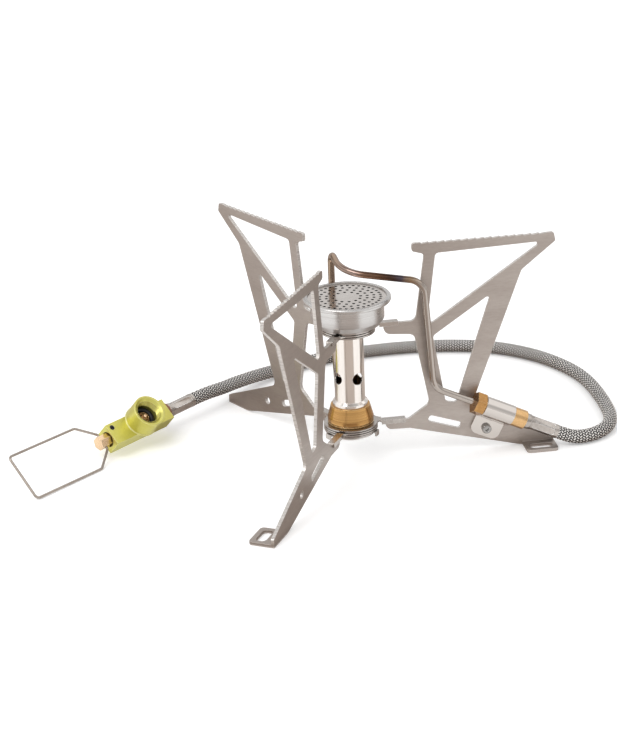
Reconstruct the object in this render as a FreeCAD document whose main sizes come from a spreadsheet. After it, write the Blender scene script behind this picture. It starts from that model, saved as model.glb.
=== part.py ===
"""Camping gas stove with a remote canister: burner, three folding legs, preheat tube, hose and valve.

Frame: millimetres, +Z up, origin on the burner's axis at the height of the ground.
The right leg lies along +X. Azimuths are counted anticlockwise from +X, seen from above.
"""
import FreeCAD, Part
import math
import os
import Sketcher
from FreeCAD import Placement, Rotation, Vector

# Driving dimensions in millimetres, angles in degrees.
SIZES = {
    # Clearances.
    "running_fit": 0.05,
    "thread_fit": 0.05,
    "part_gap": 0.1,
    # Legs: reach is the distance from the burner's axis, height is above the ground.
    "plate_thick": 1.5,
    "leg_height": 100.0,
    "tip_reach": 92.0,
    "tip_nose": 0.8,
    "tip_depth": 3.9,
    "bar_inner_reach": 29.0,
    "bar_depth": 5.2,
    "bar_end_depth": 3.6,
    "upright_top_reach": 34.4,
    "upright_top_width": 4.9,
    "upright_mid_reach": 30.1,
    "upright_step": 0.8,
    "upright_foot_reach": 35.8,
    "upright_foot_height": 24.5,
    "upper_arm_top": 64.2,
    "upper_arm_depth": 5.0,
    "upper_arm_root_depth": 6.2,
    "upper_arm_reach": 15.8,
    "lower_arm_top": 17.7,
    "lower_arm_depth": 4.2,
    "lower_arm_reach": 15.5,
    "lower_arm_step_reach": 26.0,
    "belly_reach": 26.5,
    "belly_drop": 0.2,
    "foot_reach": 92.4,
    "foot_length": 14.3,
    "foot_end_height": 3.9,
    "foot_tab_width": 10.3,
    "foot_slot_length": 10.4,
    "foot_slot_width": 4.6,
    "foot_slot_shift": 0.7,
    "strut_foot_reach": 54.2,
    "strut_foot_height": 20.2,
    "strut_top_reach": 77.6,
    "strut_top_drop": 16.1,
    "high_window_tip_reach": 87.2,
    "high_window_tip_drop": 3.7,
    "high_window_foot_reach": 35.0,
    "high_window_foot_drop": 3.3,
    "low_window_tip_reach": 64.0,
    "low_window_tip_drop": 25.9,
    "low_window_top_reach": 37.7,
    "low_window_top_drop": 1.6,
    "low_window_foot_reach": 43.0,
    "low_window_foot_width": 4.9,
    "low_window_foot_drop": 0.9,
    "beam_slot_reach": 42.4,
    "beam_slot_height": 14.8,
    "beam_slot_length": 15.4,
    "beam_slot_width": 3.1,
    "beam_slot_slope": 18.5,
    "screw_hole_reach": 61.1,
    "screw_hole_height": 10.3,
    "screw_hole_radius": 1.75,
    "tooth_pitch": 3.5,
    "tooth_depth": 0.5,
    "tooth_count": 16,
    "tooth_start": 33.0,
    "round_small": 1.0,
    "round_middle": 1.8,
    "round_large": 3.0,
    "slot_flat": 0.2,
    "front_leg_azimuth": 240.0,
    "rear_leg_azimuth": 120.0,
    # Hub rings and their saddles on the legs' arms.
    "ring_thick": 0.8,
    "ring_gap": 0.2,
    "ring_radius": 12.0,
    "lower_ring_rise": 0.6,
    "saddle_wall": 0.8,
    "saddle_height": 2.0,
    "saddle_start": 13.8,
    "upper_saddle_end": 22.2,
    "lower_saddle_end": 24.6,
    "flare_start": 9.0,
    "flare_half_width": 6.0,
    "lock_radius": 11.6,
    "lug_reach": 12.9,
    "lug_width": 3.0,
    "lug_height": 1.5,
    "lug_azimuth": 328.0,
    "lug_count": 3,
    # Burner.
    "tube_radius": 6.7,
    "tube_wall": 0.6,
    "tube_flange_radius": 7.9,
    "tube_flange_lip": 1.4,
    "tube_flange_height": 2.4,
    "tube_top_rise": 2.4,
    "air_hole_radius": 2.75,
    "air_hole_rise": 13.5,
    "air_hole_azimuth": 27.0,
    "air_hole_count": 4,
    "cup_gap": 0.6,
    "cup_wall": 0.8,
    "cup_radius": 16.2,
    "cup_floor_radius": 14.2,
    "cup_corner_rise": 3.0,
    "cup_round": 1.0,
    "cup_height": 12.8,
    "rim_radius": 19.3,
    "rim_height": 2.0,
    "rim_width": 1.9,
    "rim_round": 0.8,
    "plate_drop": 0.7,
    "disc_thick": 0.8,
    "flame_hole_radius": 0.7,
    "flame_ring_first": 6.1,
    "flame_ring_pitch": 2.9,
    "flame_count_first": 12,
    "flame_count_second": 18,
    "flame_count_third": 24,
    "flame_count_fourth": 36,
    "clip_radius": 8.6,
    "clip_thick": 0.8,
    "body_top_radius": 8.7,
    "body_radius": 10.25,
    "body_band": 2.6,
    "body_rim": 0.6,
    "body_round": 0.8,
    "body_height": 8.3,
    "groove_depth": 0.6,
    "groove_height": 0.4,
    "shank_radius": 6.5,
    "cap_radius": 10.4,
    "cap_base_radius": 7.5,
    "cap_height": 2.6,
    "cap_skirt": 1.2,
    "cap_floor": 1.0,
    "jet_radius": 2.2,
    "jet_thread_length": 2.2,
    "jet_bore_depth": 5.0,
    "jet_flats": 6.0,
    "jet_hex_height": 4.0,
    "jet_height": 13.0,
    "jet_tip_radius": 1.2,
    "jet_seat_depth": 0.6,
    "jet_bore_radius": 0.4,
    "mixing_throat_radius": 4.4,
    # Preheat tube.
    "preheat_radius": 1.5,
    "preheat_bore": 0.9,
    "preheat_azimuth": 99.2,
    "preheat_end_reach": 9.0,
    "preheat_entry_rise": 4.3,
    "preheat_entry_bend": 17.0,
    "preheat_rise": 5.6,
    "preheat_slope_rise": 4.0,
    "preheat_crest_rise": 8.0,
    "preheat_drop_gap": 0.6,
    "preheat_far_across": -1.4,
    "preheat_far_along": 3.1,
    "riser_foot_reach": 36.8,
    "riser_top_reach": 33.0,
    "riser_foot_bend": 8.0,
    "riser_top_bend": 7.0,
    "over_bend": 14.2,
    "crest_bend": 4.0,
    "drop_bend": 30.0,
    "entry_bend": 5.0,
    # Connector on the right leg, along an axis that slopes down and outwards.
    "connector_slope": 25.5,
    "connector_rise": 11.7,
    "nut_length": 4.4,
    "nut_bore_depth": 3.0,
    "sleeve_gap": 0.4,
    "strap_length": 14.0,
    "strap_thick": 0.6,
    "strap_drop": 6.4,
    "strap_tangent": 23.0,
    "strap_tab_depth": 14.6,
    "strap_tab_round": 3.5,
    "swivel_radius": 3.9,
    "nipple_radius": 3.0,
    "nipple_length": 2.8,
    "collar_radius": 4.3,
    "collar_length": 6.2,
    "olive_radius": 2.0,
    "olive_length": 1.8,
    "ferrule_radius": 3.45,
    "ferrule_waist": 3.2,
    "ferrule_length": 16.6,
    "ferrule_collar": 2.4,
    "screw_head_radius": 2.15,
    "screw_head_height": 1.9,
    "screw_head_round": 0.7,
    "screw_radius": 1.5,
    "screw_recess_flats": 1.7,
    "screw_recess_depth": 1.1,
    "screw_nut_flats": 5.5,
    "screw_nut_thick": 1.8,
    # Hose and valve: along is counted from the front face towards the knob.
    "hose_radius": 3.0,
    "hose_right_lead": 6.4,
    "hose_left_lead": 9.0,
    "valve_front_across": -107.43,
    "valve_front_along": 28.42,
    "valve_front_height": 8.31,
    "valve_azimuth": 219.0,
    "valve_pitch": 2.0,
    "valve_roll": 43.0,
    "block_length": 35.3,
    "block_width": 10.5,
    "block_depth": 8.8,
    "boss_position": 18.3,
    "boss_radius": 7.6,
    "boss_height": 13.9,
    "boss_start": 3.9,
    "boss_foot_radius": 7.85,
    "boss_foot_height": 0.85,
    "thread_radius": 5.55,
    "thread_depth": 8.0,
    "thread_mouth_radius": 6.8,
    "thread_relief_length": 3.4,
    "thread_relief_depth": 0.2,
    "gasket_thick": 1.8,
    "gasket_bore": 3.0,
    "gas_way_radius": 1.0,
    "depressor_radius": 2.8,
    "depressor_height": 2.4,
    "depressor_pin_radius": 0.8,
    "depressor_pin_rise": 0.9,
    "spindle_bore": 3.6,
    "spindle_bore_depth": 9.0,
    "chamber_radius": 2.4,
    "chamber_depth": 21.0,
    "spindle_neck_radius": 2.3,
    "spindle_neck_length": 4.0,
    "spindle_collar_length": 4.0,
    "spindle_stem_radius": 1.4,
    "spindle_needle_length": 1.8,
    "spindle_needle_radius": 0.6,
    "head_flats": 5.6,
    "head_length": 5.8,
    "head_inset": 0.5,
    "ring_seal_radius": 0.6,
    "washer_radius": 4.4,
    "washer_thick": 1.2,
    "washer_bore": 2.0,
    "set_screw_radius": 1.15,
    "set_screw_length": 1.0,
    "set_screw_flats": 1.1,
    "set_screw_recess": 0.6,
    "set_screw_inset": 2.6,
    "set_screw_offset": 3.0,
    "wire_radius": 0.6,
    "wire_grip": 1.2,
    "handle_hinge": 3.2,
    "handle_root": 1.2,
    "handle_shoulder": 9.2,
    "handle_half_width": 11.2,
    "handle_length": 48.6,
    "handle_lift": 3.3,
    "handle_root_bend": 1.0,
    "handle_shoulder_bend": 2.0,
    "handle_corner_bend": 1.8,
}

# The hose's route between its two ferrules, chosen by eye.
HOSE_ROUTE = [
    (105.0, -5.1, 3.1),
    (111.3, -3.1, 3.1),
    (116.6, 2.0, 3.1),
    (120.4, 9.5, 3.1),
    (123.2, 19.5, 3.1),
    (125.2, 33.0, 3.1),
    (125.6, 48.0, 3.1),
    (123.6, 63.0, 3.1),
    (118.5, 79.0, 3.1),
    (108.0, 97.0, 3.1),
    (91.0, 112.0, 3.1),
    (70.0, 119.5, 3.1),
    (46.0, 122.5, 3.1),
    (24.0, 121.2, 3.1),
    (6.0, 117.8, 3.1),
    (-9.0, 112.0, 3.2),
    (-22.0, 104.3, 4.0),
    (-33.5, 95.5, 5.4),
    (-43.0, 85.5, 7.2),
    (-51.0, 75.5, 8.9),
]

doc = FreeCAD.newDocument("camping_stove")


class Size:
    """A number with the sheet expression that gives it, so that what it sizes stays bound."""

    def __init__(self, value, text):
        self.value = value
        self.text = text

    def __add__(self, other):
        return joined(self, "+", other, self.value + number(other))

    def __radd__(self, other):
        return joined(other, "+", self, number(other) + self.value)

    def __sub__(self, other):
        return joined(self, "-", other, self.value - number(other))

    def __rsub__(self, other):
        return joined(other, "-", self, number(other) - self.value)

    def __mul__(self, other):
        return joined(self, "*", other, self.value * number(other))

    def __truediv__(self, other):
        return joined(self, "/", other, self.value / number(other))

    def __neg__(self):
        return Size(-self.value, "-(" + self.text + ")")


def number(size):
    return size.value if isinstance(size, Size) else float(size)


def expression(size):
    return size.text if isinstance(size, Size) else repr(float(size))


def joined(left, sign, right, value):
    return Size(value, "(" + expression(left) + " " + sign + " " + expression(right) + ")")


def sine(angle):
    return Size(math.sin(math.radians(number(angle))), "sin(" + expression(angle) + ")")


def cosine(angle):
    return Size(math.cos(math.radians(number(angle))), "cos(" + expression(angle) + ")")


class Sheet:
    """The spreadsheet of driving dimensions, read as attributes."""

    def __init__(self, sizes):
        self.cells = doc.addObject("Spreadsheet::Sheet", "Sizes")
        for row, (name, value) in enumerate(sizes.items(), start=1):
            self.cells.set("A" + str(row), name)
            self.cells.set("B" + str(row), repr(value))
            self.cells.setAlias("B" + str(row), name)
        doc.recompute()

    def __getattr__(self, name):
        return Size(float(self.cells.get(name)), "Sizes." + name)


S = Sheet(SIZES)


# General helpers.

def bind(thing, name, size):
    """Tie a property to the sheet."""
    thing.setExpression(name, expression(size))


def vector(*sizes):
    return Vector(*[number(size) for size in sizes])


def new_body(label):
    body = doc.addObject("PartDesign::Body", label)
    body.Label = label
    return body


def origin_feature(body, role):
    return [feature for feature in body.Origin.OriginFeatures if feature.Role == role][0]


def new_sketch(body, name, role, lift=0.0):
    """A sketch on one of the body's own origin planes, lifted along the plane's normal."""
    sketch = body.newObject("Sketcher::SketchObject", name)
    sketch.AttachmentSupport = (origin_feature(body, role), [""])
    sketch.MapMode = "FlatFace"
    bind(sketch, "AttachmentOffset.Base.z", lift)
    return sketch


def hold(sketch, kind, geometry, vertex, size):
    constraint = Sketcher.Constraint(kind, -1, 1, geometry, vertex, number(size))
    index = sketch.addConstraint(constraint)
    bind(sketch, "Constraints[" + str(index) + "]", size)


def draw_outline(sketch, points):
    """A closed straight-sided outline, each corner held by its two distances from the origin."""
    first = sketch.GeometryCount
    count = len(points)
    for here, there in zip(points, points[1:] + points[:1]):
        sketch.addGeometry(Part.LineSegment(vector(*here, 0), vector(*there, 0)), False)
    for step in range(count):
        following = first + (step + 1) % count
        sketch.addConstraint(Sketcher.Constraint("Coincident", first + step, 2, following, 1))
    for step, (across, up) in enumerate(points):
        hold(sketch, "DistanceX", first + step, 1, across)
        hold(sketch, "DistanceY", first + step, 1, up)


def draw_circle(sketch, across, up, radius):
    circle = Part.Circle(vector(across, up, 0), Vector(0, 0, 1), number(radius))
    index = sketch.addGeometry(circle, False)
    hold(sketch, "DistanceX", index, 3, across)
    hold(sketch, "DistanceY", index, 3, up)
    held = sketch.addConstraint(Sketcher.Constraint("Radius", index, number(radius)))
    bind(sketch, "Constraints[" + str(held) + "]", radius)


def hexagon(flats, turn=0.0):
    """Corners of a hexagon with two flats parallel to the sketch's first axis."""
    outer = flats / (2 * math.cos(math.pi / 6))
    corners = []
    for step in range(6):
        angle = math.radians(60 * step + turn)
        corners.append((outer * math.cos(angle), outer * math.sin(angle)))
    return corners


def volume(body):
    return body.Shape.Volume if body.Tip else 0.0


def extrude(body, kind, sketch, name, length, symmetric=False, backwards=False):
    """A Pad or a Pocket of a sketch, checked to change the volume."""
    before = volume(body)
    feature = body.newObject("PartDesign::" + kind, name)
    feature.Profile = sketch
    bind(feature, "Length", length)
    feature.SideType = "Symmetric" if symmetric else "One side"
    feature.Reversed = backwards
    body.Tip = feature
    doc.recompute()
    if abs(volume(body) - before) < 1e-6:
        raise ValueError(name + " changes nothing in " + body.Label)
    return feature


def drill(body, name, role, centre, radius, length, lift=0.0, symmetric=False, backwards=False):
    """A round Pocket at a centre given in the plane's own two axes."""
    sketch = new_sketch(body, name + "_sketch", role, lift)
    draw_circle(sketch, centre[0], centre[1], radius)
    return extrude(body, "Pocket", sketch, name, length, symmetric, backwards)


def repeat_round(body, feature, name, count):
    pattern = body.newObject("PartDesign::PolarPattern", name)
    pattern.Originals = [feature]
    pattern.Axis = (origin_feature(body, "Z_Axis"), [""])
    pattern.Angle = 360.0
    bind(pattern, "Occurrences", count)
    body.Tip = pattern
    doc.recompute()


def repeat_along(body, feature, name, count, span):
    pattern = body.newObject("PartDesign::LinearPattern", name)
    pattern.Originals = [feature]
    pattern.Direction = (origin_feature(body, "X_Axis"), [""])
    bind(pattern, "Length", span)
    bind(pattern, "Occurrences", count)
    body.Tip = pattern
    doc.recompute()


def straight_edges(shape, first, second, corners):
    """Names of the straight edges that pass squarely through corners given in two axes."""
    names = []
    for index, edge in enumerate(shape.Edges, start=1):
        start = edge.Vertexes[0].Point
        end = edge.Vertexes[-1].Point
        if math.hypot(start[first] - end[first], start[second] - end[second]) > 1e-6:
            continue
        for corner in corners:
            miss = math.hypot(start[first] - number(corner[0]), start[second] - number(corner[1]))
            if miss < 1e-4:
                names.append("Edge" + str(index))
    return names


def ring_edge(shape, radius, height):
    """Names of the circular edges about Z with the given radius and height."""
    names = []
    for index, edge in enumerate(shape.Edges, start=1):
        if not isinstance(edge.Curve, Part.Circle):
            continue
        miss = math.hypot(edge.Curve.Center.z - number(height), edge.Curve.Radius - number(radius))
        if miss < 1e-4:
            names.append("Edge" + str(index))
    return names


def round_edges(body, name, edges, radius):
    """A Fillet of named edges on the body's last feature."""
    if not edges:
        raise ValueError("no edges to round for " + name)
    base = body.Tip
    fillet = body.newObject("PartDesign::Fillet", name)
    fillet.Base = (base, edges)
    bind(fillet, "Radius", radius)
    body.Tip = fillet
    doc.recompute()


def turned(label, points, rounds=()):
    """A body turned about Z from (radius, height) points; rounds are (radius, height, fillet)."""
    body = new_body(label)
    sketch = new_sketch(body, label + "_profile", "XZ_Plane")
    draw_outline(sketch, points)
    turn = body.newObject("PartDesign::Revolution", label + "_turn")
    turn.Profile = sketch
    turn.ReferenceAxis = (sketch, ["V_Axis"])
    turn.Angle = 360.0
    body.Tip = turn
    doc.recompute()
    for step, (radius, height, fillet) in enumerate(rounds):
        round_edges(body, label + "_round" + str(step), ring_edge(body.Shape, radius, height), fillet)
    return body


def box(name, low, size):
    piece = doc.addObject("Part::Box", name)
    for side, length in zip(("Length", "Width", "Height"), size):
        bind(piece, side, length)
    for axis, value in zip("xyz", low):
        bind(piece, "Placement.Base." + axis, value)
    return piece


def upright_cylinder(name, radius, height, level):
    piece = doc.addObject("Part::Cylinder", name)
    bind(piece, "Radius", radius)
    bind(piece, "Height", height)
    bind(piece, "Placement.Base.z", level)
    return piece


# Bent round stock: straight runs joined by tangent arcs.

def widest_bend(before, corner, after):
    """The radius of an arc that uses 0.45 of the shorter run at a corner."""
    shorter = min((corner - before).Length, (after - corner).Length)
    turn = (corner - before).getAngle(after - corner)
    return 0.45 * shorter / math.tan(turn / 2)


def bent_wire(points, radii):
    """A wire through points with an arc of the given radius at each inner point."""
    edges = []
    start = points[0]
    for before, corner, after, radius in zip(points, points[1:], points[2:], radii):
        back = Vector(before - corner).normalize()
        ahead = Vector(after - corner).normalize()
        half_turn = (corner - before).getAngle(after - corner) / 2
        setback = radius * math.tan(half_turn)
        inward = Vector(back + ahead).normalize()
        first = corner + back * setback
        middle = corner + inward * (radius / math.cos(half_turn) - radius)
        last = corner + ahead * setback
        edges.append(Part.LineSegment(start, first).toShape())
        edges.append(Part.Arc(first, middle, last).toShape())
        start = last
    edges.append(Part.LineSegment(start, points[-1]).toShape())
    return Part.Wire(edges)


def swept(label, wire, radius):
    """Round stock of one radius along a wire, with its volume compared with its length."""
    spine = doc.addObject("Part::Feature", label + "_spine")
    spine.Shape = wire
    section = doc.addObject("Part::Circle", label + "_section")
    bind(section, "Radius", radius)
    heading = wire.Edges[0].tangentAt(wire.Edges[0].FirstParameter)
    start = wire.Edges[0].valueAt(wire.Edges[0].FirstParameter)
    section.Placement = Placement(start, Rotation(Vector(0, 0, 1), heading))
    sweep = doc.addObject("Part::Sweep", label)
    sweep.Sections = [section]
    sweep.Spine = (spine, ["Edge" + str(index) for index in range(1, len(wire.Edges) + 1)])
    sweep.Solid = True
    doc.recompute()
    drawn = math.pi * number(radius) ** 2 * wire.Length
    print(label, "length", round(wire.Length, 1), "volume ratio", round(sweep.Shape.Volume / drawn, 5))
    return sweep


# Levels and places that several pieces share.

HALF_PLATE = S.plate_thick / 2
RING_STEP = S.ring_thick + S.ring_gap
SADDLE_SIDE = HALF_PLATE + S.running_fit
UPPER_ARM_BOTTOM = S.upper_arm_top - S.upper_arm_root_depth
LOWER_RING_TOP = S.lower_arm_top + S.lower_ring_rise
LOCK_LEVEL = LOWER_RING_TOP - RING_STEP * 3
CUP_FLOOR = S.upper_arm_top + S.ring_thick + S.cup_gap
CUP_TOP = CUP_FLOOR + S.cup_height
PLATE_SEAT = CUP_TOP - S.plate_drop - S.disc_thick
BODY_FOOT = LOWER_RING_TOP + RING_STEP
BODY_TOP = BODY_FOOT + S.body_height
CAP_FOOT = LOCK_LEVEL - S.cap_height
SHANK_FOOT = CAP_FOOT + S.cap_floor
PREHEAT_ENTRY = BODY_FOOT + S.preheat_entry_rise
LEG_AZIMUTHS = {"right": 0.0, "front": S.front_leg_azimuth, "rear": S.rear_leg_azimuth}

# The connector's axis runs along its own X; its clip's screw lies straight below its origin.
STAND = S.swivel_radius + S.running_fit * 2 + S.strap_thick
AXIS_SHIFT = S.connector_rise * sine(S.connector_slope)
SCREW_DROP = S.connector_rise * cosine(S.connector_slope)
CONNECTOR = Placement(
    vector(S.screw_hole_reach + AXIS_SHIFT * cosine(S.connector_slope),
           -HALF_PLATE - STAND,
           S.screw_hole_height + S.connector_rise - AXIS_SHIFT * sine(S.connector_slope)),
    Rotation(Vector(0, 1, 0), number(S.connector_slope)))
STRAP_HALF = S.strap_length / 2
NUT_INNER = STRAP_HALF + S.sleeve_gap
COLLAR_END = STRAP_HALF + S.part_gap + S.collar_length

# The valve's X points to its knob and its Z out of the canister socket.
AZIMUTH = math.radians(number(S.valve_azimuth))
PITCH = math.radians(number(S.valve_pitch))
ROLL = math.radians(number(S.valve_roll))
AHEAD = Vector(math.cos(AZIMUTH) * math.cos(PITCH), math.sin(AZIMUTH) * math.cos(PITCH), -math.sin(PITCH))
LEVEL_SIDE = Vector(0, 0, 1).cross(AHEAD).normalize()
STEEP_SIDE = AHEAD.cross(LEVEL_SIDE)
SOCKET_WAY = STEEP_SIDE * math.cos(ROLL) + LEVEL_SIDE * math.sin(ROLL)
ACROSS = SOCKET_WAY.cross(AHEAD)
VALVE = Placement(vector(S.valve_front_across, S.valve_front_along, S.valve_front_height),
                  Rotation(AHEAD, ACROSS, SOCKET_WAY, "XYZ"))
WASHER_FACE = -S.block_length - S.washer_thick
HALF_BLOCK = S.block_depth / 2
SOCKET_FLOOR = S.boss_height - S.thread_depth

# Turns a piece made about Z so that its axis lies along X.
AXLE = Rotation(Vector(0, 1, 0), 90)


def on_frame(thing, frame, along=0.0, side=0.0, up=0.0, rotation=None):
    """Set a finished piece into the connector's or the valve's frame."""
    thing.Placement = frame.multiply(Placement(vector(along, side, up), rotation or Rotation()))
    return thing


# Legs.

def leg(side):
    """A stamped plate in the XZ plane, its foot bent flat towards -Y, turned to its azimuth."""
    top = S.leg_height
    tip_top = (S.tip_reach, top)
    tip_nose = (S.tip_reach + S.tip_nose, top - S.tip_depth)
    bar_end_top = (S.bar_inner_reach, top)
    bar_end_bottom = (S.bar_inner_reach, top - S.bar_end_depth)
    upright_top = (S.upright_top_reach, top - S.bar_depth)
    inside_top = (S.upright_mid_reach, S.upper_arm_top)
    arm_tip_top = (S.upper_arm_reach, S.upper_arm_top)
    arm_tip_bottom = (S.upper_arm_reach, S.upper_arm_top - S.upper_arm_depth)
    inside_bottom = (S.upright_mid_reach - S.upright_step, UPPER_ARM_BOTTOM)
    upright_foot = (S.upright_foot_reach, S.upright_foot_height)
    step = (S.lower_arm_step_reach, S.lower_arm_top)
    low_tip_top = (S.lower_arm_reach, S.lower_arm_top)
    low_tip_bottom = (S.lower_arm_reach, S.lower_arm_top - S.lower_arm_depth)
    belly = (S.belly_reach, S.lower_arm_top - S.lower_arm_depth - S.belly_drop)
    heel = (S.foot_reach - S.foot_length, 0)
    toe = (S.foot_reach, 0)
    toe_top = (S.foot_reach, S.foot_end_height)
    strut_foot = (S.strut_foot_reach, S.strut_foot_height)
    strut_top = (S.strut_top_reach, top - S.strut_top_drop)

    body = new_body("leg_" + side)
    plate = new_sketch(body, "outline_" + side, "XZ_Plane")
    draw_outline(plate, [tip_top, bar_end_top, bar_end_bottom, upright_top, inside_top, arm_tip_top,
                         arm_tip_bottom, inside_bottom, upright_foot, step, low_tip_top, low_tip_bottom,
                         belly, heel, toe, toe_top, strut_foot, strut_top, tip_nose])
    extrude(body, "Pad", plate, "plate_" + side, S.plate_thick, symmetric=True)

    high_inner = (S.upright_top_reach + S.upright_top_width, top - S.bar_depth)
    high_tip = (S.high_window_tip_reach, top - S.high_window_tip_drop)
    high_foot = (S.high_window_foot_reach, S.upper_arm_top - S.high_window_foot_drop)
    low_tip = (S.low_window_tip_reach, top - S.low_window_tip_drop)
    low_top = (S.low_window_top_reach, UPPER_ARM_BOTTOM - S.low_window_top_drop)
    low_inner = (S.low_window_foot_reach, S.upright_foot_height)
    low_outer = (S.low_window_foot_reach + S.low_window_foot_width,
                 S.upright_foot_height - S.low_window_foot_drop)
    half_length = S.beam_slot_length / 2
    half_width = S.beam_slot_width / 2
    slot = []
    for along, across in ((-1, 1), (1, 1), (1, -1), (-1, -1)):
        reach = (S.beam_slot_reach + cosine(S.beam_slot_slope) * half_length * along
                 + sine(S.beam_slot_slope) * half_width * across)
        height = (S.beam_slot_height - sine(S.beam_slot_slope) * half_length * along
                  + cosine(S.beam_slot_slope) * half_width * across)
        slot.append((reach, height))
    windows = new_sketch(body, "windows_" + side, "XZ_Plane")
    draw_outline(windows, [high_inner, high_tip, high_foot])
    draw_outline(windows, [low_tip, low_top, low_inner, low_outer])
    draw_outline(windows, slot)
    draw_circle(windows, S.screw_hole_reach, S.screw_hole_height, S.screw_hole_radius)
    extrude(body, "Pocket", windows, "window_cut_" + side, S.plate_thick * 3, symmetric=True)

    rounded = {
        "small": (S.round_small, [tip_top, bar_end_top, bar_end_bottom, arm_tip_top, low_tip_top,
                                  toe_top, tip_nose, high_tip, low_tip]),
        "middle": (S.round_middle, [upright_top, step, high_inner, high_foot, low_top, low_inner,
                                    low_outer]),
        "large": (S.round_large, [inside_top, inside_bottom, arm_tip_bottom, low_tip_bottom,
                                  upright_foot, strut_foot, strut_top]),
        "slot": (half_width - S.slot_flat, slot),
    }
    for name, (radius, corners) in rounded.items():
        edges = straight_edges(body.Shape, 0, 2, corners)
        round_edges(body, "round_" + name + "_" + side, edges, radius)

    notch = new_sketch(body, "notch_" + side, "XZ_Plane")
    draw_outline(notch, [(S.tooth_start, top - S.tooth_depth), (S.tooth_start, top + S.tooth_depth),
                         (S.tooth_start + S.tooth_pitch * 2, top + S.tooth_depth)])
    tooth = extrude(body, "Pocket", notch, "tooth_" + side, S.plate_thick * 3, symmetric=True)
    repeat_along(body, tooth, "teeth_" + side, S.tooth_count, S.tooth_pitch * (S.tooth_count - 1))

    tab_side = -HALF_PLATE - S.foot_tab_width
    tab = new_sketch(body, "tab_" + side, "XY_Plane")
    draw_outline(tab, [(toe[0], HALF_PLATE), (heel[0], HALF_PLATE), (heel[0], tab_side), (toe[0], tab_side)])
    extrude(body, "Pad", tab, "foot_" + side, S.plate_thick)
    slot_reach = S.foot_reach - S.foot_length / 2
    slot_side = -HALF_PLATE - S.foot_tab_width / 2 - S.foot_slot_shift
    peg_corners = []
    for along, across in ((1, 1), (-1, 1), (-1, -1), (1, -1)):
        peg_corners.append((slot_reach + S.foot_slot_length / 2 * along,
                            slot_side + S.foot_slot_width / 2 * across))
    peg_slot = new_sketch(body, "peg_slot_" + side, "XY_Plane")
    draw_outline(peg_slot, peg_corners)
    extrude(body, "Pocket", peg_slot, "peg_slot_cut_" + side, S.plate_thick * 3, symmetric=True)
    tab_edges = straight_edges(body.Shape, 0, 1, [(toe[0], tab_side), (heel[0], tab_side)])
    round_edges(body, "round_tab_" + side, tab_edges, S.round_middle)
    peg_edges = straight_edges(body.Shape, 0, 1, peg_corners)
    round_edges(body, "round_peg_slot_" + side, peg_edges, S.foot_slot_width / 2 - S.slot_flat)
    body.Placement = Placement(Vector(), Rotation(Vector(0, 0, 1), number(LEG_AZIMUTHS[side])))
    return body


# Hub rings, each with a folded saddle over the top edge of a leg's arm.

def hub_ring(label, side, level, arm_top, saddle_end, bore):
    half_saddle = SADDLE_SIDE + S.saddle_wall
    step_start = S.saddle_start - S.saddle_wall
    low = level if number(level) < number(arm_top) else arm_top
    high = arm_top if number(level) < number(arm_top) else level
    disc = upright_cylinder(label + "_disc", S.ring_radius, S.ring_thick, level)
    flare = doc.addObject("Part::Wedge", label + "_flare")
    wedge = {"Xmin": -S.flare_half_width, "Xmax": S.flare_half_width, "X2min": -half_saddle,
             "X2max": half_saddle, "Ymin": S.flare_start, "Ymax": step_start, "Zmin": 0.0, "Z2min": 0.0,
             "Zmax": S.ring_thick, "Z2max": S.ring_thick}
    flare.Placement = Placement(vector(0, 0, level), Rotation(Vector(0, 0, 1), -90))
    for name, size in wedge.items():
        bind(flare, name, size)
    bind(flare, "Placement.Base.z", level)
    step_up = box(label + "_step", (step_start, -half_saddle, low),
                  (S.saddle_wall, half_saddle * 2, high - low + S.ring_thick))
    roof = box(label + "_roof", (step_start, -half_saddle, arm_top),
               (saddle_end - step_start, half_saddle * 2, S.ring_thick))
    pieces = [disc, flare, step_up, roof]
    for name, low_side in (("left", SADDLE_SIDE), ("right", -half_saddle)):
        pieces.append(box(label + "_wall_" + name,
                          (S.saddle_start, low_side, arm_top + S.ring_thick - S.saddle_height),
                          (saddle_end - S.saddle_start, S.saddle_wall, S.saddle_height)))
    blank = doc.addObject("Part::MultiFuse", label + "_blank")
    blank.Shapes = pieces
    hole = upright_cylinder(label + "_hole", bore, S.ring_thick * 3, level - S.ring_thick)
    ring = doc.addObject("Part::Cut", label)
    ring.Base = blank
    ring.Tool = hole
    ring.Placement = Placement(Vector(), Rotation(Vector(0, 0, 1), number(LEG_AZIMUTHS[side])))
    return ring


def lock_plate():
    """The plate that holds the lower rings on the shank, with its turned-down lugs."""
    bore = S.shank_radius + S.thread_fit
    top = LOCK_LEVEL + S.ring_thick
    root = S.lock_radius - S.ring_thick
    body = turned("lock_plate", [(bore, LOCK_LEVEL), (S.lock_radius, LOCK_LEVEL), (S.lock_radius, top),
                                 (bore, top)])
    lug = new_sketch(body, "lug_profile", "XZ_Plane")
    draw_outline(lug, [(root, LOCK_LEVEL), (S.lug_reach - S.ring_thick, LOCK_LEVEL),
                       (S.lug_reach - S.ring_thick, LOCK_LEVEL - S.lug_height),
                       (S.lug_reach, LOCK_LEVEL - S.lug_height), (S.lug_reach, top), (root, top)])
    pad = extrude(body, "Pad", lug, "lug", S.lug_width, symmetric=True)
    repeat_round(body, pad, "lugs", S.lug_count)
    body.Placement = Placement(Vector(), Rotation(Vector(0, 0, 1), number(S.lug_azimuth)))
    return body


# Burner.

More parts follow.
